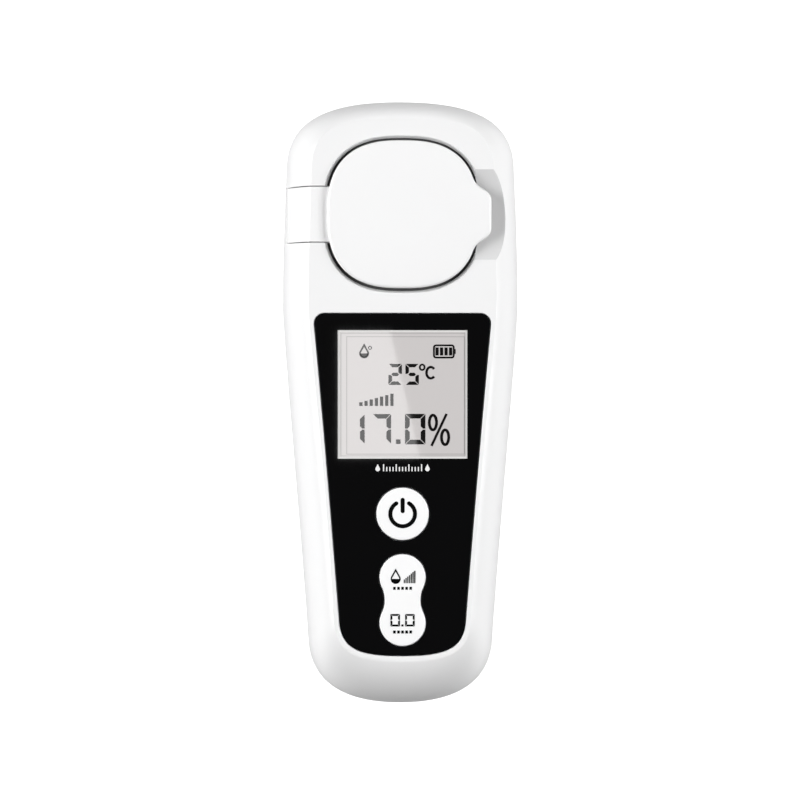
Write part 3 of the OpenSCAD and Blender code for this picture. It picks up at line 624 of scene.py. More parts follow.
# ---- Lid -------------------------------------------------------------------------------------
def make_lid(finish):
    """The domed disc with its arm and hinge barrel; the arm dips where it meets the disc."""
    plan = lid_outline()
    edge, roll = face + 0.35, 0.62
    centre = vec(0, well_y)
    rings = [at(inset(plan, 0.3), lid_bottom), at(inset(plan, 0.09), lid_bottom + 0.09),
             at(plan, lid_bottom + 0.3)]
    for a in np.radians(np.linspace(0, 84, 9)):
        rings.append(at(inset(plan, roll * (1 - math.cos(a))), edge + roll * math.sin(a)))
    top_edge = inset(plan, roll)
    rim_z = edge + roll
    for f in np.linspace(0.985, 0.03, 16):
        rings.append(at(centre + (top_edge - centre) * f,
                        lid_peak - (lid_peak - rim_z) * f**3))
    disc = loft(rings, "lid")
    y0, y1 = well_y - arm_half, well_y + arm_half
    outer_x, inner_x, stem_x, heel_x = hinge_x - 9, -12, -flange_r - 0.75, hinge_x + 2.1
    arm = common(front_outside(), across_y([
        (hinge_x, hinge_z), (outer_x, hinge_z), (outer_x, face + 1), (inner_x, face + 1),
        (inner_x, lid_bottom + 0.1), (stem_x, lid_bottom + 0.1), (stem_x, arm_underside),
        (heel_x, arm_underside), (heel_x, hinge_z + barrel_r - 1)], y0, y1))
    dip = loft([at(superellipse(g), face + z) for g, z in (
        (-1.5, -0.42), (0.35, -0.4), (1.0, -0.26), (1.8, -0.08), (2.6, 0.04))])
    arm = cut(arm, dip)
    lid = add(disc, arm, rod_y(hinge_x, hinge_z, y0 + 0.0005, y1 - 0.0005, barrel_r))
    lid = cut(lid, rod_y(hinge_x, hinge_z, y0 - 3, y1 + 3, pin_r + bore_gap))
    return dress(smooth(lid), "flip_lid", "lid", finish, ["lid"])


# ---- Panel and keys --------------------------------------------------------------------------
def make_panel(finish):
    plan = panel_outline(16)
    roll, hole_roll, base = 0.16, 0.12, panel_floor - 1
    rings = [at(plan, panel_floor), at(plan, panel_top - roll)]
    for a in np.radians(np.linspace(15, 90, 5)):
        rings.append(at(inset(plan, roll * (1 - math.cos(a))),
                        panel_top - roll + roll * math.sin(a)))
    tools = [flared(lambda g: hole(key_gap + g), base, panel_top, hole_roll)
             for hole in (power_circle, rocker_outline)]
    panel = smooth(cut(loft(rings, "panel"), *tools, window_block(0, base, panel_top + 1)))
    return dress(panel, "display_face", "case", finish, ["display_panel"])


def key_cap(grown, centre, base, rim):
    """Flange, side, rounded rim and a top that is dished up to the middle."""
    rings = [at(grown(key_flange), base), at(grown(key_flange), base + 0.9),
             at(grown(0.05), base + 0.95), at(grown(0), base + 1.1)]
    shoulder = key_top - key_dish - key_roll
    rings += [at(grown(-key_roll * (1 - math.cos(a))), shoulder + key_roll * math.sin(a))
              for a in np.radians(np.linspace(0, 80, 7))]
    edge = grown(-key_roll)
    rings += [at(centre + (edge - centre) * f, key_top - key_dish * f**2)
              for f in (rim, 0.8, 0.6, 0.4, 0.2, 0.03)]
    return loft(rings, "key")


def make_power_key(finish):
    cap = key_cap(power_circle, vec(0, power_y), front_inside - 1.2, 0.94)
    key = add(cap, post(0, power_y, 2.2, front_inside - 1.7, front_inside - 1))
    return dress(smooth(key), "round_key", "power_key", finish, ["power_key"])


def make_rocker_key(finish):
    cap = key_cap(rocker_outline, vec(0, rocker_y), front_inside - 1.6, 0.95)
    axle = rocker_waist + key_flange + 1.4
    key = add(cap, rod_x(rocker_y, front_inside - 1.3, -axle, axle, 0.7, 32))
    return dress(smooth(key), "rocker", "rocker_key", finish, ["rocker_key"])


# ---- Battery door ----------------------------------------------------------------------------
def make_battery_door(finish):
    """Sliding plate that carries on the rounding of the back, with grip ribs and an arrow."""
    plate = common(rear_outside(), block(-door_half, door_half, -half_l, door_end, -1, door_thick))
    plate = add(plate, block(-door_half - door_rail, door_half + door_rail, bay_bottom - 1,
                             door_end, door_thick - 0.8, door_thick))
    grips = [rod_x(bay_bottom + 2.5 + i * grip_pitch, -0.25, -grip_half, grip_half, grip_r, 40)
             for i in range(grip_count)]
    tip, tail, wing = bay_bottom + 13, bay_bottom + 17.5, 3.2
    arrow = slab(np.array([(-wing, tail), (wing, tail), (0, tip)], float), -1, 0.25)
    plate = smooth(cut(plate, *grips, arrow))
    return dress(plate, "sliding_door", "battery_door", finish, ["battery_door"])


# ---- Key mat: a sheet, and a dome with its pill under each key -------------------------------
def make_key_mat(silicone, carbon):
    low, top = board_top + 0.02, front_inside - 1.8
    skin, pill_r, pill_thick = 0.9, 1.3, 0.5
    ceiling = top - skin
    rocker_spots = [rocker_y - rocker_half, rocker_y + rocker_half]
    sheet = cut(block(-mat_half, mat_half, rocker_spots[0] - 6.5, power_y + 6, low,
                      low + mat_thick),
                *[post(0, y, dome_foot + 0.02, low - 1, top) for y in [power_y] + rocker_spots])
    dress(smooth(sheet), "key_mat_sheet", "case", silicone, ["key_mat"])
    for kind, spots, joint, keep in (("power", [power_y], "power_press", 0.89),
                                     ("rocker", rocker_spots, "rocker_tilt", 0.94)):
        domes = [cut(turned([(dome_foot, low), (dome_crown, top)], 0, y),
                     turned([(dome_foot - skin, low - 1), (dome_crown - skin, ceiling)], 0, y))
                 for y in spots]
        pills = [post(0, y, pill_r, ceiling - pill_thick, ceiling - 0.01) for y in spots]
        soft = [dress(smooth(add(*domes)), kind + "_dome", "case", silicone),
                dress(smooth(add(*pills)), kind + "_pill", "case", carbon,
                      ["contact_pills"] if kind == "power" else [])]
        for piece in soft:
            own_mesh(piece)


# ---- Repeated pieces, by Geometry Nodes ------------------------------------------------------
class Tree:
    """A Geometry Nodes tree that stands one shape at every point of a mesh."""

    def __init__(self, name, sizes):
        self.group = bpy.data.node_groups.new(name, "GeometryNodeTree")
        self.sizes = sizes
        self.keys = {}
        self.socket("Points", "NodeSocketGeometry")
        for key in sizes:
            self.keys[key] = self.socket(key, "NodeSocketFloat").identifier
        self.group.interface.new_socket("Mesh", in_out="OUTPUT",
                                        socket_type="NodeSocketGeometry")
        self.given = self.group.nodes.new("NodeGroupInput").outputs

    def socket(self, name, kind):
        return self.group.interface.new_socket(name, in_out="INPUT", socket_type=kind)

    def node(self, kind, *values, **settings):
        """Adds a node whose inputs are given in order, and returns its first output."""
        return add_node(self.group, kind, dict(enumerate(values)), **settings).outputs[0]

    def math(self, operation, a, b=None):
        return self.node("ShaderNodeMath", a, b, operation=operation)

    def times(self, a, b):
        return self.math("MULTIPLY", a, b)

    def plus(self, a, b):
        return self.math("ADD", a, b)

    def minus(self, a, b):
        return self.math("SUBTRACT", a, b)

    def vector(self, x, y, z):
        return self.node("ShaderNodeCombineXYZ", x, y, z)

    def move(self, mesh, height):
        return self.node("GeometryNodeTransform", mesh, self.vector(0.0, 0.0, height))

    def boolean(self, operation, mesh, *others):
        node = self.group.nodes.new("GeometryNodeMeshBoolean")
        node.solver, node.operation = "MANIFOLD", operation
        self.group.links.new(mesh, node.inputs[1 if operation == "UNION" else 0])
        for other in others:
            self.group.links.new(other, node.inputs[1])
        return node.outputs[0]

    def stand(self, shape, turn, finish):
        """Ends the tree: the shape at every point, made real, in its finish."""
        placed = self.node("GeometryNodeInstanceOnPoints", self.given["Points"], None, shape,
                           None, None, self.vector(turn, 0.0, 0.0))
        real = self.node("GeometryNodeRealizeInstances", placed)
        done = self.node("GeometryNodeSetMaterial", real, None, finish)
        end = self.group.nodes.new("NodeGroupOutput")
        self.group.links.new(done, end.inputs["Mesh"])

    def grow(self, name, points):
        """Runs the tree on a set of points in millimetres and returns the plain mesh."""
        thing = new_solid(name, np.array(points, float), [])
        step = thing.modifiers.new("grow", "NODES")
        step.node_group = self.group
        for key, value in self.sizes.items():
            step[self.keys[key]] = value
        return settle(thing)


def screw_tree(sizes, finish):
    """A machine screw: tapered head with a cross slot, threaded shank, blunt point."""
    head_sides, shank_sides, steps_per_turn = 48, 24, 7.0
    thread_mean, thread_swing = 0.93, 0.07
    taper, slot_reach, slot_depth, slot_middle = 0.84, 1.36, 0.65, -0.775
    tree = Tree("screws", sizes)
    wide, high, radius, length, slot, pitch, turn = (tree.given[key] for key in sizes)
    reach = tree.plus(length, tree.times(high, 0.5))
    steps = tree.times(tree.math("DIVIDE", reach, pitch), steps_per_turn)
    shank = tree.node("GeometryNodeMeshCylinder", shank_sides, steps, 1, radius, reach)
    shank = tree.move(shank, tree.minus(length, tree.times(reach, 0.5)))
    place = tree.node("GeometryNodeInputPosition")
    x, y, z = add_node(tree.group, "ShaderNodeSeparateXYZ", {0: place}).outputs
    phase = tree.minus(tree.times(tree.math("DIVIDE", z, pitch), math.tau),
                       tree.math("ARCTAN2", y, x))
    thread = tree.plus(tree.times(tree.math("COSINE", phase), thread_swing), thread_mean)
    point = tree.node("ShaderNodeMapRange", z, tree.minus(length, radius), length, 1.0, 0.5)
    share = tree.times(thread, point)
    shaped = tree.node("ShaderNodeVectorMath", place, tree.vector(share, share, 1.0),
                       operation="MULTIPLY")
    shank = tree.node("GeometryNodeSetPosition", shank, None, shaped)
    head = tree.node("GeometryNodeMeshCone", head_sides, 1, 1, wide, tree.times(wide, taper),
                     high)
    head = tree.move(head, tree.times(high, -1.0))
    across, deep = tree.times(wide, slot_reach), tree.times(high, slot_depth)
    slots = [tree.move(tree.node("GeometryNodeMeshCube", size, 2, 2, 2),
                       tree.times(high, slot_middle))
             for size in (tree.vector(across, slot, deep), tree.vector(slot, across, deep))]
    screw = tree.boolean("DIFFERENCE", tree.boolean("UNION", head, shank), *slots)
    tree.stand(screw, turn, finish)
    return tree


def make_screws(finish):
    """Case, board and optics screws; head and shank are each a diameter and a length."""
    sets = [
        ("case_screw_set", "case_screws", case_spots, screw_seat,
         (2 * head_r, 1.6), (screw_d, screw_length), 0.8, 1.0, 0.0),
        ("board_screw_set", "board_screws", board_spots, board_top - board_thick,
         (3.6, 1.2), (2.0, board_thick + 3.4), 0.6, 0.7, 0.0),
        ("optics_screw_set", "optics_screws", pairs((optics_post_x, well_y)),
         optics_foot + foot_thick, (3.4, 1.1), (2.0, 4.2), 0.5, 0.7, math.pi)]
    for name, node, spots, seat, head, shank, slot, pitch, turn in sets:
        sizes = {"Head Radius": head[0] / 2, "Head Height": head[1],
                 "Shank Radius": shank[0] / 2, "Shank Length": shank[1], "Slot Width": slot,
                 "Thread Pitch": pitch}
        sizes = {key: value * MM for key, value in sizes.items()}
        sizes["Head Turn"] = turn
        tree = screw_tree(sizes, finish)
        screws = smooth(tree.grow(name, [(x, y, seat) for x, y in spots]))
        dress(screws, name, "case", finish, [node])


def make_springs(finish):
    """The two conical battery springs, one facing each way."""
    sizes = {"Base Radius": 4.0 * MM, "Tip Radius": 2.4 * MM, "Wire Radius": 0.35 * MM,
             "Length": spring_length * MM, "Turns": 4.0}
    tree = Tree("springs", sizes)
    base, tip, wire, length, turns = (tree.given[key] for key in sizes)
    rise = tree.minus(length, tree.times(wire, 2.0))
    steps_per_turn, wire_sides = 28, 12
    path = tree.node("GeometryNodeCurveSpiral", steps_per_turn, turns, base, tip, rise, True)
    path = tree.move(path, wire)
    ring = tree.node("GeometryNodeCurvePrimitiveCircle", wire_sides, None, None, None, wire)
    coil = tree.node("GeometryNodeCurveToMesh", path, ring, 1.0, True)
    index = tree.node("GeometryNodeInputIndex")
    turn = tree.times(tree.minus(index, 0.5), math.pi)
    tree.stand(coil, turn, finish)
    cell_z = (cell_low[2] + cell_high[2]) / 2
    cell_x = cell_high[0] - (cell_high[2] - cell_low[2]) / 2
    springs = smooth(tree.grow("battery_springs", [(cell_x, spring_low[1], cell_z),
                                                   (-cell_x, spring_high[1], cell_z)]), 60)
    return dress(springs, "battery_springs", "case", finish,
                 ["contact_springs"])


# ---- Printing: thin closed shapes that lie on a surface --------------------------------------
class Ink:
    """Collects flat shapes, each a closed plate between two levels."""

    def __init__(self, low, high):
        self.low, self.high = low, high
        self.verts, self.faces = [], []

    def fill(self, pts):
        base, n = len(self.verts), len(pts)
        area = sum(pts[i][0] * pts[(i + 1) % n][1] - pts[(i + 1) % n][0] * pts[i][1]
                   for i in range(n))
        if area <= 0:
            pts = pts[::-1]
        self.verts += [(x, y, self.low) for x, y in pts] + [(x, y, self.high) for x, y in pts]
        self.faces.append(tuple(base + n + i for i in range(n)))
        self.faces.append(tuple(base + n - 1 - i for i in range(n)))
        self.faces += [(base + i, base + (i + 1) % n, base + n + (i + 1) % n, base + n + i)
                       for i in range(n)]

    def bar(self, x0, x1, y0, y1):
        self.fill(rectangle(x0, x1, y0, y1))

    def stroke(self, pts, width, closed=False):
        """A line of even width; every stretch shares its corners with the next."""
        pts = np.array(pts, float)
        ahead = np.roll(pts, -1, 0) - pts
        behind = pts - np.roll(pts, 1, 0)
        if not closed:
            ahead[-1], behind[0] = behind[-1], ahead[0]
        unit = lambda v: v / np.maximum(np.linalg.norm(v, axis=1), 1e-9)[:, None]
        along = unit(unit(ahead) + unit(behind))
        side = np.stack([-along[:, 1], along[:, 0]], 1)
        stretch = 1 / np.maximum(np.sum(along * unit(ahead), 1), 0.4)
        off = side * (width / 2 * stretch)[:, None]
        if not closed:
            self.fill(np.vstack([pts + off, (pts - off)[::-1]]))
            return
        base, n = len(self.verts), len(pts)
        for ring, z in ((pts + off, self.low), (pts - off, self.low), (pts - off, self.high),
                        (pts + off, self.high)):
            self.verts += [(x, y, z) for x, y in ring]
        for j in range(4):
            low, high = base + j * n, base + ((j + 1) % 4) * n
            self.faces += [(low + k, high + k, high + (k + 1) % n, low + (k + 1) % n)
                           for k in range(n)]

    def piece(self, name, body, slot, finish):
        made = new_solid(name, self.verts, self.faces)
        return dress(made, name, body, finish)


def arc(x, y, rx, ry, a0, a1, n):
    a = np.radians(np.linspace(a0, a1, n))
    return np.stack([x + rx * np.cos(a), y + ry * np.sin(a)], 1)


def ellipse(x, y, rx, ry, n=48):
    return arc(x, y, rx, ry, 0, 360, n + 1)[:-1]


SEGMENTS = {"0": "abcdef", "1": "bc", "2": "abged", "5": "afgcd", "7": "abc"}


def seven_segment(ink, digit, x, y, w, h, t, gap=0.22):
    """One digit whose lower left corner is at x, y; the bars have mitred ends."""
    mid, g = h / 2, gap / 2
    flat = lambda y0, y1: [(g, y0), (w - g, y0), (w - g - t, y1), (g + t, y1)]
    bars = {
        "a": flat(h, h - t),
        "d": flat(0, t),
        "g": [(t * 0.7 + g, mid), (t * 1.15 + g, mid + t / 2), (w - t * 1.15 - g, mid + t / 2),
              (w - t * 0.7 - g, mid), (w - t * 1.15 - g, mid - t / 2),
              (t * 1.15 + g, mid - t / 2)],
        "b": [(w, h - g), (w, mid + g), (w - t * 0.5, mid + g), (w - t, mid + t * 0.6),
              (w - t, h - t - g)]}
    mirror_x = lambda pts: [(w - px, py) for px, py in pts]
    mirror_y = lambda pts: [(px, h - py) for px, py in pts]
    bars["f"] = mirror_x(bars["b"])
    bars["c"] = mirror_y(bars["b"])
    bars["e"] = mirror_x(bars["c"])
    for key in SEGMENTS[digit]:
        ink.fill([(x + px, y + py) for px, py in bars[key]])


def drop(x, y, r, tall):
    """Water drop outline with its round end at the bottom; x, y is the middle of that end."""
    lean = math.degrees(math.acos(r / tall))
    body = arc(x, y, r, r, 90 - lean, 90 + lean - 360, 40)
    return np.vstack([[(x, y + tall)], body])


def draw_drop_icon(ink, x, y, r, tall, width):
    ink.stroke(drop(x, y, r, tall), width, closed=True)
    ink.fill(arc(x, y, r * 0.98, r * 0.98, 180, 360, 24))


def draw_battery_icon(ink, x, y, w, h):
    tip, corner, line = 0.42, 0.45, 0.4
    body = w - tip
    ends = [(x + body - corner, y + h - corner, 90), (x + body - corner, y + corner, 0),
            (x + corner, y + corner, -90), (x + corner, y + h - corner, -180)]
    ink.stroke(np.vstack([arc(cx, cy, corner, corner, a, a - 90, 5) for cx, cy, a in ends]),
               line, closed=True)
    ink.bar(x + body + line / 2 + 0.02, x + w, y + h * 0.3, y + h * 0.7)
    count, cell, margin = 4, 0.7, 0.46
    pitch = (body - line) / count
    for i in range(count):
        left = x + line / 2 + (i + 0.5) * pitch - cell / 2
        ink.bar(left, left + cell, y + margin, y + h - margin)


def draw_percent(ink, x, y, w, h):
    for cx, cy in ((x + w * 0.21, y + h * 0.73), (x + w * 0.79, y + h * 0.27)):
        ink.stroke(ellipse(cx, cy, w * 0.172, h * 0.23), 0.62, closed=True)
    ink.stroke([(x + w * 0.14, y), (x + w * 0.86, y + h)], 0.54)


def draw_celsius(ink, x, y, h):
    ink.stroke(ellipse(x + 0.5, y + h - 0.65, 0.52, 0.6), 0.4, closed=True)
    ink.stroke(arc(x + 2.4, y + h / 2 - 0.3, 0.95, h / 2 - 0.3, 40, 320, 30), 0.54)


def draw_level_bars(ink, x, y, w, h):
    """Row of bars that step up, for the strength of the sample."""
    count = 7
    pitch = w / count
    for i in range(count):
        tall = h * (0.3 + 0.7 * i / (count - 1))
        ink.bar(x + i * pitch, x + i * pitch + pitch * 0.6, y, y + tall)


def draw_dots(ink, y):
    """Row of small oblong dots under a marking."""
    count, left, pitch, wide, tall = 5, -2.1, 0.9, 0.55, 0.65
    for i in range(count):
        ink.bar(left + i * pitch, left + wide + i * pitch, y, y + tall)


def make_display_print(finish):
    """The reading: a drop, the battery, the temperature, a level and the large figures."""
    ink = Ink(window_top + 0.01, window_top + 0.03)
    left, base = -9.55, -9.25
    small, large = (2.95, 4.65, 0.76), (4.05, 6.6, 1.0)
    draw_drop_icon(ink, left + 1.05, 10.85, 0.9, 1.85, 0.34)
    ink.stroke(ellipse(left + 2.35, 12.1, 0.32, 0.34, 20), 0.18, closed=True)
    draw_battery_icon(ink, 6.95, 9.95, 4.8, 2.7)
    for digit, x in (("2", -3.1), ("5", 0.65)):
        seven_segment(ink, digit, x, 3.9, *small)
    draw_celsius(ink, 3.85, 5.35, 3.1)
    draw_level_bars(ink, left, -0.75, 8.0, 2.7)
    for digit, x in (("1", left - 2.9), ("7", left + 2.95)):
        seven_segment(ink, digit, x, base + 0.1, *large)
    ink.bar(-1.45, -0.45, base + 0.1, base + 1.1)
    seven_segment(ink, "0", 0.55, base, 4.5, 6.75, 1.02)
    draw_percent(ink, 5.75, base - 0.35, 4.65, 7.1)
    return ink.piece("display_print", "case", "carbon_rubber", finish)


def make_panel_print(finish):
    """White scale under the window: a row of ticks with a drop at each end."""
    ink = Ink(panel_top + 0.002, panel_top + 0.02)
    y, drop_x, drop_r = -14.4, 5.5, 0.5
    ticks, pitch, line = 13, 0.7, 0.26
    for i in range(ticks):
        x = (i - (ticks - 1) / 2) * pitch
        tall = 1.55 if i % 4 == 0 else 0.95
        ink.bar(x - line / 2, x + line / 2, y - 0.78, y - 0.78 + tall)
    for side in (-1, 1):
        ink.fill(drop(side * drop_x, y - 0.3, drop_r, 1.1))
    return ink.piece("panel_print", "case", "label_foil", finish)


def make_key_prints(finish):
    """A power sign on the round key; a drop with a level, and a zero reading, on the rocker."""
    low, high = key_top - 0.099, key_top + 0.016
    power = Ink(low, high)
    ring_r, line, gap_angle, bar_r = 2.72, 0.88, 31, 0.45
    power.stroke(arc(0, power_y, ring_r, ring_r, 90 - gap_angle, 90 + gap_angle - 360, 64), line)
    for a in np.radians([90 - gap_angle, 90 + gap_angle]):
        power.fill(ellipse(ring_r * math.cos(a), power_y + ring_r * math.sin(a), line / 2,
                           line / 2, 24))
    power.fill(np.vstack([arc(0, power_y + 3.1, bar_r, bar_r, 0, 180, 12),
                          arc(0, power_y + 0.6, bar_r, bar_r, 180, 360, 12)]))
    power.piece("power_icon", "power_key", "carbon_rubber", finish)

    marks = Ink(low, high)
    upper, lower = rocker_y + rocker_half, rocker_y - rocker_half
    draw_drop_icon(marks, -1.55, upper - 0.35, 0.95, 1.95, 0.3)
    draw_level_bars(marks, 0.25, upper - 1.3, 2.7, 2.75)
    draw_dots(marks, upper - 2.75)
    for x in (-2.7, 0.55):
        seven_segment(marks, "0", x, lower - 0.75, 2.1, 2.75, 0.42, 0.12)
    marks.bar(-0.28, 0.18, lower - 0.75, lower - 0.3)
    draw_dots(marks, lower - 2.3)
    marks.piece("rocker_icons", "rocker_key", "carbon_rubber", finish)


def make_window(tile_finish, edge_highlight_finish, line_shade_finish):
    """Clear window with the liquid crystal bonded under it; its pale edge ring is a painted
    highlight of the rim, and its fine grey frame lines are painted shade of the groove at the
    crystal's frame.
    """
    gap, edge, bevel = 0.02, 0.42, 0.05
    half_x, half_y = window_w / 2 - gap, window_l / 2 - gap
    low, high = window_y - half_y, window_y + half_y
    plan = rectangle(-half_x, half_x, low, high)
    tile = loft([at(plan, panel_floor + 0.1), at(plan, window_top - bevel),
                 at(inset(plan, bevel), window_top)])
    dress(smooth(tile), "window_tile", "case", tile_finish)
    # Painted highlight: a pale ring on the tile's border, standing in for the light its rounded
    # rim would catch.
    rim = Ink(window_top + 0.005, window_top + 0.1)
    rim.stroke(inset(plan, 0.06 + edge / 2), edge, closed=True)
    rim.piece("window_edge", "case", "display_glass", edge_highlight_finish)
    # Painted shade: grey lines standing in for the shade in the groove where the crystal meets its
    # frame.
    lines = Ink(window_top + 0.005, window_top + 0.02)
    for left, right, lower, upper, width in ((1.98, 0.62, 0.98, 1.42, 0.2),
                                             (0.72, 0.5, 0.6, 0.72, 0.16)):
        lines.stroke(rectangle(-half_x + left, half_x - right, low + lower, high - upper), width,
                     closed=True)
    lines.piece("window_lines", "case", "display_glass", line_shade_finish)


# ---- Finishes --------------------------------------------------------------------------------
def add_relief(tree, height, strength):
    """Lets a fine height pattern bend the light on a shader."""
    relief = add_node(tree, "ShaderNodeBump",
                      {"Strength": strength, "Distance": 0.0001, "Height": height})
    feed(tree, tree.nodes["Principled BSDF"], {"Normal": relief.outputs["Normal"]})


def finish_of(name, colour, rough, grain, grain_scale, bump, metal=0.0, ior=1.5, coat=0.0,
              rough_swing=0.05):
    """A shader whose colour and roughness drift slightly over the piece, with a fine texture."""
    mat = bpy.data.materials.new(name)
    mat.use_nodes = True
    tree = mat.node_tree
    place = tree.nodes.new("ShaderNodeTexCoord").outputs["Object"]
    cloud, fine = (
        add_node(tree, "ShaderNodeTexNoise",
                 {"Scale": scale, "Detail": detail, "Vector": place}).outputs["Fac"]
        for scale, detail in ((45.0, 3.0), (grain_scale, 4.0)))
    tint = add_node(tree, "ShaderNodeMix",
                    {"A": [c * (1 - grain) for c in colour] + [1],
                     "B": [min(1, c * (1 + grain)) for c in colour] + [1], "Factor": cloud},
                    data_type="RGBA")
    swing = add_node(tree, "ShaderNodeMapRange",
                     {"Value": fine, "To Min": max(0.0, rough - rough_swing),
                      "To Max": min(1.0, rough + rough_swing)})
    feed(tree, tree.nodes["Principled BSDF"],
         {"Metallic": metal, "IOR": ior, "Coat Weight": coat, "Coat Roughness": 0.04,
          "Base Color": tint.outputs["Result"], "Roughness": swing.outputs["Result"]})
    if bump:
        add_relief(tree, fine, bump)
    return mat


def finishes():
    return {
        "shell": finish_of("gloss_white_abs", (0.865, 0.865, 0.867), 0.28, 0.006, 2500, 0.0,
                           rough_swing=0.008),
        # Painted shade: near black for the groove round the lid, so the gap reads darker than its
        # light makes it.
        "groove": finish_of("groove_painted_shade", (0.1, 0.1, 0.1), 0.6, 0.05, 3000, 0.1),
        # Painted shade: the finger scoop is coloured darker than the shell, standing in for the
        # shade under the lid's tab; its higher roughness is the surface's own.
        "recess": finish_of("etched_abs_painted_shade", (0.7, 0.7, 0.702), 0.5, 0.01, 3000, 0.05),
        "lid": finish_of("gloss_white_lid", (0.888, 0.888, 0.89), 0.24, 0.006, 2500, 0.0,
                         rough_swing=0.008),
        "door": finish_of("satin_white_door", (0.83, 0.83, 0.83), 0.42, 0.01, 2500, 0.08),
        "key": finish_of("white_key_cap", (0.94, 0.94, 0.942), 0.38, 0.006, 2500, 0.04),
        "panel": finish_of("black_acrylic", (0.0022, 0.0022, 0.0024), 0.02, 0.2, 600, 0.0,
                           ior=1.3, rough_swing=0.005),
        "ink": finish_of("black_ink", (0.002, 0.002, 0.002), 0.4, 0.2, 3000, 0.0, ior=1.15),
        "white_ink": finish_of("white_ink", (0.85, 0.85, 0.85), 0.5, 0.02, 3000, 0.05),
        "segment": finish_of("liquid_crystal_dark", (0.004, 0.0035, 0.0035), 0.02, 0.15, 2000, 0,
                             rough_swing=0.005),
        "lcd": finish_of("liquid_crystal_ground", (0.59, 0.565, 0.56), 0.02, 0.012, 5200, 0,
                         rough_swing=0.005),
        # Painted highlight: pale colour for the ring round the window, standing in for light
        # caught by its rim.
        "window_edge": finish_of("window_edge_painted_highlight", (0.74, 0.735, 0.72), 0.3, 0.01, 2600, 0.02),
        # Painted shade: grey for the frame lines, standing in for the shade of the groove at the
        # crystal's frame.
        "window_line": finish_of("window_line_painted_shade", (0.44, 0.425, 0.42), 0.02, 0.01, 2600, 0,
                                 rough_swing=0.005),
        "rubber": finish_of("black_rubber", (0.02, 0.02, 0.021), 0.7, 0.15, 2600, 0.3),
        "silicone": finish_of("grey_silicone", (0.55, 0.56, 0.57), 0.55, 0.03, 2600, 0.15),
        "steel": steel_finish(),
        "screw": finish_of("zinc_screw", (0.58, 0.58, 0.6), 0.32, 0.06, 4000, 0.1, metal=1.0),
        "nickel": finish_of("nickel_contact", (0.66, 0.63, 0.58), 0.22, 0.05, 4000, 0.1,
                            metal=1.0),
        "foil": finish_of("label_foil", (0.62, 0.62, 0.63), 0.36, 0.03, 3500, 0.12, metal=0.9),
        "glass": finish_of("prism_glass", (0.05, 0.075, 0.085), 0.04, 0.1, 800, 0, ior=1.62,
                           coat=0.6, rough_swing=0.02),
        "board": finish_of("solder_mask", (0.01, 0.11, 0.045), 0.36, 0.15, 1500, 0.1),
        "chip": finish_of("chip_resin", (0.02, 0.02, 0.022), 0.6, 0.12, 5000, 0.3),
        "ceramic": finish_of("fired_ceramic", (0.42, 0.3, 0.2), 0.55, 0.08, 5000, 0.1),
        "black_plastic": finish_of("optics_black", (0.018, 0.018, 0.018), 0.65, 0.1, 3500, 0.3),
        "holder": finish_of("holder_plastic", (0.68, 0.67, 0.63), 0.5, 0.02, 3000, 0.1),
        "resin": finish_of("amber_resin", (0.7, 0.5, 0.18), 0.12, 0.05, 1500, 0.0),
        "flex": finish_of("polyimide_film", (0.45, 0.2, 0.025), 0.3, 0.08, 1500, 0.05),
        "cell": cell_finish(),
    }


def steel_finish():
    """Turned stainless steel: fine rings round the middle of the dish."""
    mat = finish_of("turned_steel", (0.62, 0.62, 0.63), 0.2, 0.03, 1500, 0.0, metal=1.0)
    tree = mat.node_tree
    place = tree.nodes.new("ShaderNodeTexCoord").outputs["Object"]
    centre = add_node(tree, "ShaderNodeMapping",
                      {"Vector": place, "Location": (0, -well_y * MM, 0)})
    rings = add_node(tree, "ShaderNodeTexWave",
                     {"Vector": centre.outputs["Vector"], "Scale": 900, "Distortion": 1.5},
                     wave_type="RINGS", rings_direction="Z")
    add_relief(tree, rings.outputs["Fac"], 0.12)
    return mat


def cell_finish():
    """Printed sleeve in two colours, with bare metal at both ends."""
    mat = finish_of("cell_sleeve", (0.04, 0.05, 0.07), 0.25, 0.1, 1500, 0.02, coat=0.5)
    tree = mat.node_tree
    place = tree.nodes.new("ShaderNodeTexCoord").outputs["Object"]
    split = add_node(tree, "ShaderNodeSeparateXYZ", {"Vector": place})
    reach = add_node(tree, "ShaderNodeMapRange",
                     {"Value": split.outputs["Y"], "From Min": cell_low[1] * MM,
                      "From Max": cell_high[1] * MM})
    bands = add_node(tree, "ShaderNodeValToRGB", {"Fac": reach.outputs["Result"]})
    metal, dark, pale = (0.5, 0.5, 0.5, 1), (0.02, 0.08, 0.07, 1), (0.3, 0.36, 0.4, 1)
    ramp = bands.color_ramp
    ramp.interpolation = "CONSTANT"
    ramp.elements[0].color = metal
    ramp.elements[1].position = 0.93
    ramp.elements[1].color = metal
    ramp.elements.new(0.07).color = dark
    ramp.elements.new(0.62).color = pale
    feed(tree, tree.nodes["Principled BSDF"], {"Base Color": bands.outputs["Color"]})
    return mat


FRAME_FINISHES = {
    "rubber": "case_seal zebra_strips dish_gasket prism_gasket",
    "silicone": "lid_seal",
    "screw": "hinge_pin",
    "lcd": "lcd_glass",
    "holder": "lcd_holder ribbon_sockets",
    "foil": "lcd_reflector rating_label",
    "board": "main_board led_board sensor_board",
    "chip": "controller_chip board_chips image_sensor",
    "ceramic": "board_capacitors",
    "black_plastic": "buzzer optics_block aperture_plate",
    "steel": "sample_dish",
    "glass": "prism collimator_lens imaging_lens",
    "resin": "led thermistor",
    "flex": "led_ribbon sensor_ribbon",
    "cell": "battery_cells",
    "nickel": "contact_plates battery_link"}


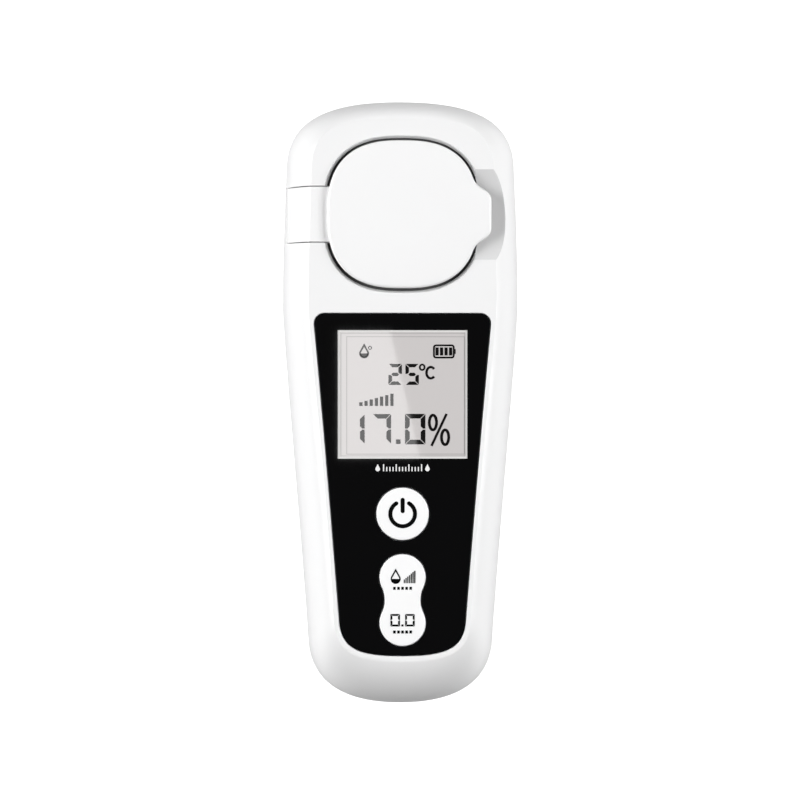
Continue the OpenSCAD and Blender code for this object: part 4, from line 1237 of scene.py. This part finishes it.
def dress_frame(look):
    """Gives every CAD node that stays in view its own finish."""
    for kind, names in FRAME_FINISHES.items():
        for name in names.split():
            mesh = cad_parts[name].data
            mesh.materials.clear()
            mesh.materials.append(look[kind])


# ---- Studio ----------------------------------------------------------------------------------
camera_distance, camera_field, camera_lean = 700.0, 176.8, math.radians(2.15)
camera_aim = vec(-0.57, 0.56, face)


def camera_place():
    away = vec(-math.sin(camera_lean), 0, math.cos(camera_lean))
    return camera_aim + away * camera_distance


def area_light(name, place, aim, size, power):
    light = bpy.data.lights.new(name, "AREA")
    light.shape = "RECTANGLE"
    light.size, light.size_y = size
    light.energy = power
    lamp = bpy.data.objects.new(name, light)
    lamp.location = place
    lamp.rotation_euler = (Vector(aim) - Vector(place)).to_track_quat("-Z", "Y").to_euler()
    lamp.visible_camera = False
    bpy.context.scene.collection.objects.link(lamp)


def make_floor():
    """White paper sweep. What the camera sees of it is lifted, so no hard shadow shows on it."""
    floor = slab(circle(0, 0, 1500, 64), -4, 0, "floor")
    paper = finish_of("white_paper", (0.5, 0.5, 0.5), 0.8, 0.004, 400, 0.0)
    tree = paper.node_tree
    ray = tree.nodes.new("ShaderNodeLightPath")
    feed(tree, tree.nodes["Principled BSDF"],
         {"Emission Color": (1, 1, 1, 1), "Emission Strength": ray.outputs["Is Camera Ray"]})
    floor.data.materials.append(paper)


def make_window_card():
    """Small bright card high above, which the window mirrors as a slanting sheen."""
    height, eye = 1500.0, camera_place()
    sheen_high, sheen_low = -2.8, 3.9
    reach = 1 + (height - panel_top) / (eye[2] - panel_top)
    half_x, low, high = window_w / 2, window_y - window_l / 2, window_y + window_l / 2
    plan = np.array([(-half_x, high), (sheen_high, high), (sheen_low, low), (-half_x, low)])
    card = slab((plan - eye[:2]) * reach + eye[:2], height, height + 2, "window_card")
    bright = bpy.data.materials.new("card_glow")
    bright.use_nodes = True
    tree = bright.node_tree
    tree.nodes.clear()
    glow = add_node(tree, "ShaderNodeEmission", {"Strength": 3.9})
    add_node(tree, "ShaderNodeOutputMaterial", {"Surface": glow.outputs["Emission"]})
    card.data.materials.append(bright)
    card.visible_camera = card.visible_diffuse = card.visible_shadow = False


def make_studio():
    scene = bpy.context.scene
    scene.view_settings.view_transform = "Standard"
    world = bpy.data.worlds.new("studio")
    scene.world = world
    world.use_nodes = True
    sky = world.node_tree.nodes["Background"].inputs
    sky["Color"].default_value = (1, 1, 1, 1)
    sky["Strength"].default_value = 0.08
    make_floor()
    make_window_card()
    aim = (0, 0, 0.02)
    area_light("left_box", (-0.75, 0.1, 0.5), aim, (0.6, 0.6), 8.9)
    area_light("right_box", (0.76, 0.1, 0.48), aim, (0.6, 0.6), 8.0)
    area_light("top_box", (0.0, 0.9, 0.6), aim, (0.9, 0.4), 0.5)


def make_camera():
    data = bpy.data.cameras.new("camera")
    camera = bpy.data.objects.new("camera", data)
    bpy.context.scene.collection.objects.link(camera)
    bpy.context.scene.camera = camera
    data.sensor_width = 36.0
    data.lens = data.sensor_width * camera_distance / camera_field
    data.clip_start, data.clip_end = 0.02, 10
    camera.location = (camera_place() * MM).tolist()
    camera.rotation_euler = (0, -camera_lean, 0)


look = finishes()
make_front_case(look["shell"], look["recess"], look["groove"])
make_rear_case(look["shell"])
make_lid(look["lid"])
make_panel(look["panel"])
make_power_key(look["key"])
make_rocker_key(look["key"])
make_battery_door(look["door"])
make_key_mat(look["silicone"], look["rubber"])
make_screws(look["screw"])
make_springs(look["nickel"])
make_display_print(look["segment"])
make_panel_print(look["white_ink"])
make_key_prints(look["ink"])
make_window(look["lcd"], look["window_edge"], look["window_line"])
dress_frame(look)
make_studio()
make_camera()
